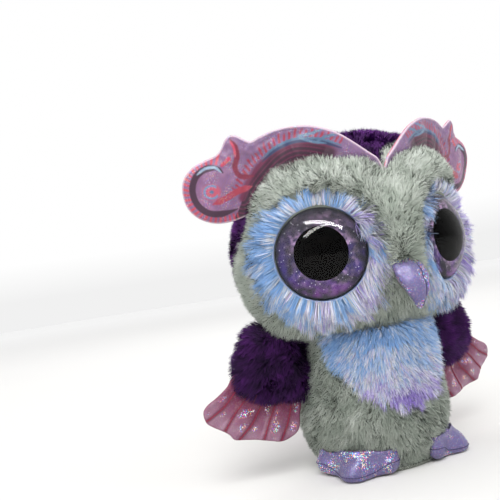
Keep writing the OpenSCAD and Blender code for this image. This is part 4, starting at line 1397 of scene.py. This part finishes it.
def dress_hard_parts():
    """The CAD nodes that show as they are, or lie inside, each in its own material."""
    finishes = [
        (two_tone("pupil_black", "000000", "010101", 50.0, 0.9, Specular_IOR_Level=0.0)[0],
         "pupil_left pupil_right"),
        (iris_material(), "iris_left iris_right"),
        (plastic_material("eye_back_black", "0b0b0e", "16161b", 0.35), "eye_post_left eye_post_right"),
        (plastic_material("washer_white", "d8d8d4", "ececea", 0.4), "eye_washer_left eye_washer_right"),
        (plastic_material("disc_board", "b9a97c", "d4c69c", 0.85), "neck_disc_lower neck_disc_upper"),
        (metal_material("steel", "a8abb0", "d0d2d6"), "neck_bolt neck_lock_nut sound_box_screws "
         "battery_door_screw power_switch_body battery_contacts squeeze_spring"),
        (plastic_material("case_plastic", "d6d0c0", "e6e2d8", 0.42),
         "sound_box_base sound_box_lid battery_door squeeze_case"),
        (plastic_material("knob_black", "1d1d20", "2c2c31", 0.4), "power_switch_knob"),
        (plastic_material("button_pink", "c2476a", "dc6c8c", 0.35), "squeeze_button"),
        (plastic_material("board_green", "1f5a33", "2f7a45", 0.45), "circuit_board squeeze_board"),
        (plastic_material("speaker_black", "202022", "3a3a3e", 0.6), "speaker"),
        (plastic_material("cell_wrap", "8a5a24", "b8813f", 0.3), "battery_front battery_rear"),
        (plastic_material("lead_red", "a01818", "cc3030", 0.4), "squeeze_leads"),
        (knit_material("base_fabric", "5c6058", "7d8078"), "base_panel"),
    ]
    for material, nodes in finishes:
        for name in nodes.split():
            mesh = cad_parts[name].data
            mesh.materials.clear()
            mesh.materials.append(material)


# ---- camera, light and floor ----

def make_camera():
    """The picture's view: a three-quarter view from the owl's right, level and slightly turned."""
    target = np.array([0, 0, 0.105])
    azimuth = math.radians(-30.7)
    elevation = math.radians(2.6)
    distance = 0.4399
    back = np.array([math.sin(azimuth) * math.cos(elevation), -math.cos(azimuth) * math.cos(elevation),
                     math.sin(elevation)])
    right = np.array([math.cos(azimuth), math.sin(azimuth), 0])
    up = np.cross(back, right)
    basis = Matrix(np.column_stack([right, up, back]).tolist())
    yaw = Matrix.Rotation(math.radians(7.84), 3, "Y")
    pitch = Matrix.Rotation(math.radians(4.01), 3, "X")
    roll = Matrix.Rotation(math.radians(-8.2), 3, "Z")
    camera = bpy.data.objects.new("camera", bpy.data.cameras.new("camera"))
    camera.matrix_world = (Matrix.Translation(target + back * distance)
                           @ (basis @ yaw @ pitch @ roll).to_4x4())
    camera.data.lens = 50.9
    camera.data.sensor_width = 36
    bpy.context.scene.collection.objects.link(camera)
    bpy.context.scene.camera = camera


def area_light(name, at, aim, size, power, long_way=(1.0, 0.0, 0.0)):
    """A softbox at one place, facing another, with its longer side as near as possible to long_way."""
    data = bpy.data.lights.new(name, "AREA")
    data.shape = "RECTANGLE"
    data.size, data.size_y = size
    data.energy = power
    lamp = bpy.data.objects.new(name, data)
    bpy.context.scene.collection.objects.link(lamp)
    facing = unit(np.array(at) - np.array(aim))
    across = unit(tangent(np.array(long_way), facing))
    turned = Matrix(np.column_stack([across, np.cross(facing, across), facing]).tolist())
    lamp.matrix_world = Matrix.Translation(at) @ turned.to_4x4()
    return lamp


def make_floor():
    """A round paper floor, pale near the owl and white far off: painted light and shade that evens out the
    lamps, strong near the owl and weak far off, and hides the horizon.
    """
    count = 96
    a = np.arange(count) * TURN / count
    rings = [np.column_stack([r * np.cos(a), r * np.sin(a), 0 * a]) for r in (1.0, 200.0, 900.0, 3000.0)]
    j, k = around(count)
    m, tree, shader = new_material("floor_paper", 0.85)
    far = add(tree, "VectorMath", {0: here(tree)}, operation="LENGTH")
    near = mix(tree, noise(tree, 3.0), "dfdedc", "dad9d7")
    # painted light: the floor turns white away from the owl, where the lamps no longer reach
    painted_light_fade = add(tree, "MapRange", {"Value": far.outputs["Value"]}, From_Min=0.3, From_Max=2.4)
    colour_by(shader, mix(tree, painted_light_fade.outputs["Result"], near, "ffffff"))
    points = np.vstack([*rings, [[0, 0, 0]]])
    faces = np.vstack([triangles(grid_faces(len(rings), count, True)), fan(len(points) - 1, k, j)])
    floor = mesh_object("floor", points, faces, m, False)
    floor.location.z = -0.0002


def make_sky():
    """White, but dimmer on the owl's front side, so that the pupils stay dark, and at the horizon."""
    world = bpy.data.worlds.new("studio")
    world.use_nodes = True
    sky = world.node_tree
    background = sky.nodes["Background"]
    background.inputs["Color"].default_value = (1.0, 1.0, 1.0, 1)
    way = add(sky, "SeparateXYZ", {"Vector": add(sky, "TexCoord").outputs["Generated"]})
    behind = add(sky, "MapRange", {"Value": way.outputs["Y"]}, From_Min=-0.85, From_Max=-0.05,
                 To_Min=0.5, To_Max=1.0)
    low = add(sky, "MapRange", {"Value": way.outputs["Z"]}, From_Min=0.0, From_Max=0.05,
              To_Min=0.88, To_Max=1.0)
    strength = add(sky, "Math", {0: behind.outputs["Result"], 1: low.outputs["Result"]},
                   operation="MULTIPLY")
    sky.links.new(strength.outputs["Value"], background.inputs["Strength"])
    bpy.context.scene.world = world
    bpy.context.scene.view_settings.view_transform = "Standard"


def make_lights():
    """A strip that only gloss shows, and three soft lights that gloss doesn't."""
    strip = area_light("strip", (-0.3, -0.52, 0.78), (-0.03, -0.05, 0.13), (0.85, 0.09), 9.0)
    strip.visible_diffuse = False
    strip.visible_transmission = False
    for name, at, size, power in (("key", (-0.4, -0.7, 1.0), 0.8, 12.0), ("fill", (0.8, -0.7, 0.6), 0.8, 4.0),
                                  ("rim", (0.3, 0.9, 0.9), 0.7, 2.5)):
        area_light(name, at, (0, 0, 0.1), (size, size), power).visible_glossy = False


def light_domes():
    """A long softbox over the camera that only the eye domes mirror: the bright arc above each pupil."""
    arc = area_light("arc", (-0.08, -0.52, 0.91), (-0.045, -0.045, 0.127), (1.1, 0.13), 36.0,
                     (0.83, -0.49, -0.27))
    arc.visible_diffuse = False
    arc.visible_transmission = False
    domes = bpy.data.collections.new("mirrored_by")
    for word in ("left", "right"):
        domes.objects.link(bpy.data.objects["eye_dome_" + word])
    arc.light_linking.receiver_collection = domes


make_camera()
make_floor()
make_sky()
make_lights()
dress_hard_parts()
make_head()
make_body()
make_beak()
for hand, word in ((1, "left"), (-1, "right")):
    make_eye(hand, word)
    make_dome(hand, word)
    make_horn(hand, word)
    make_foot(hand, word)
    make_wing(hand, word)
make_tail()
light_domes()
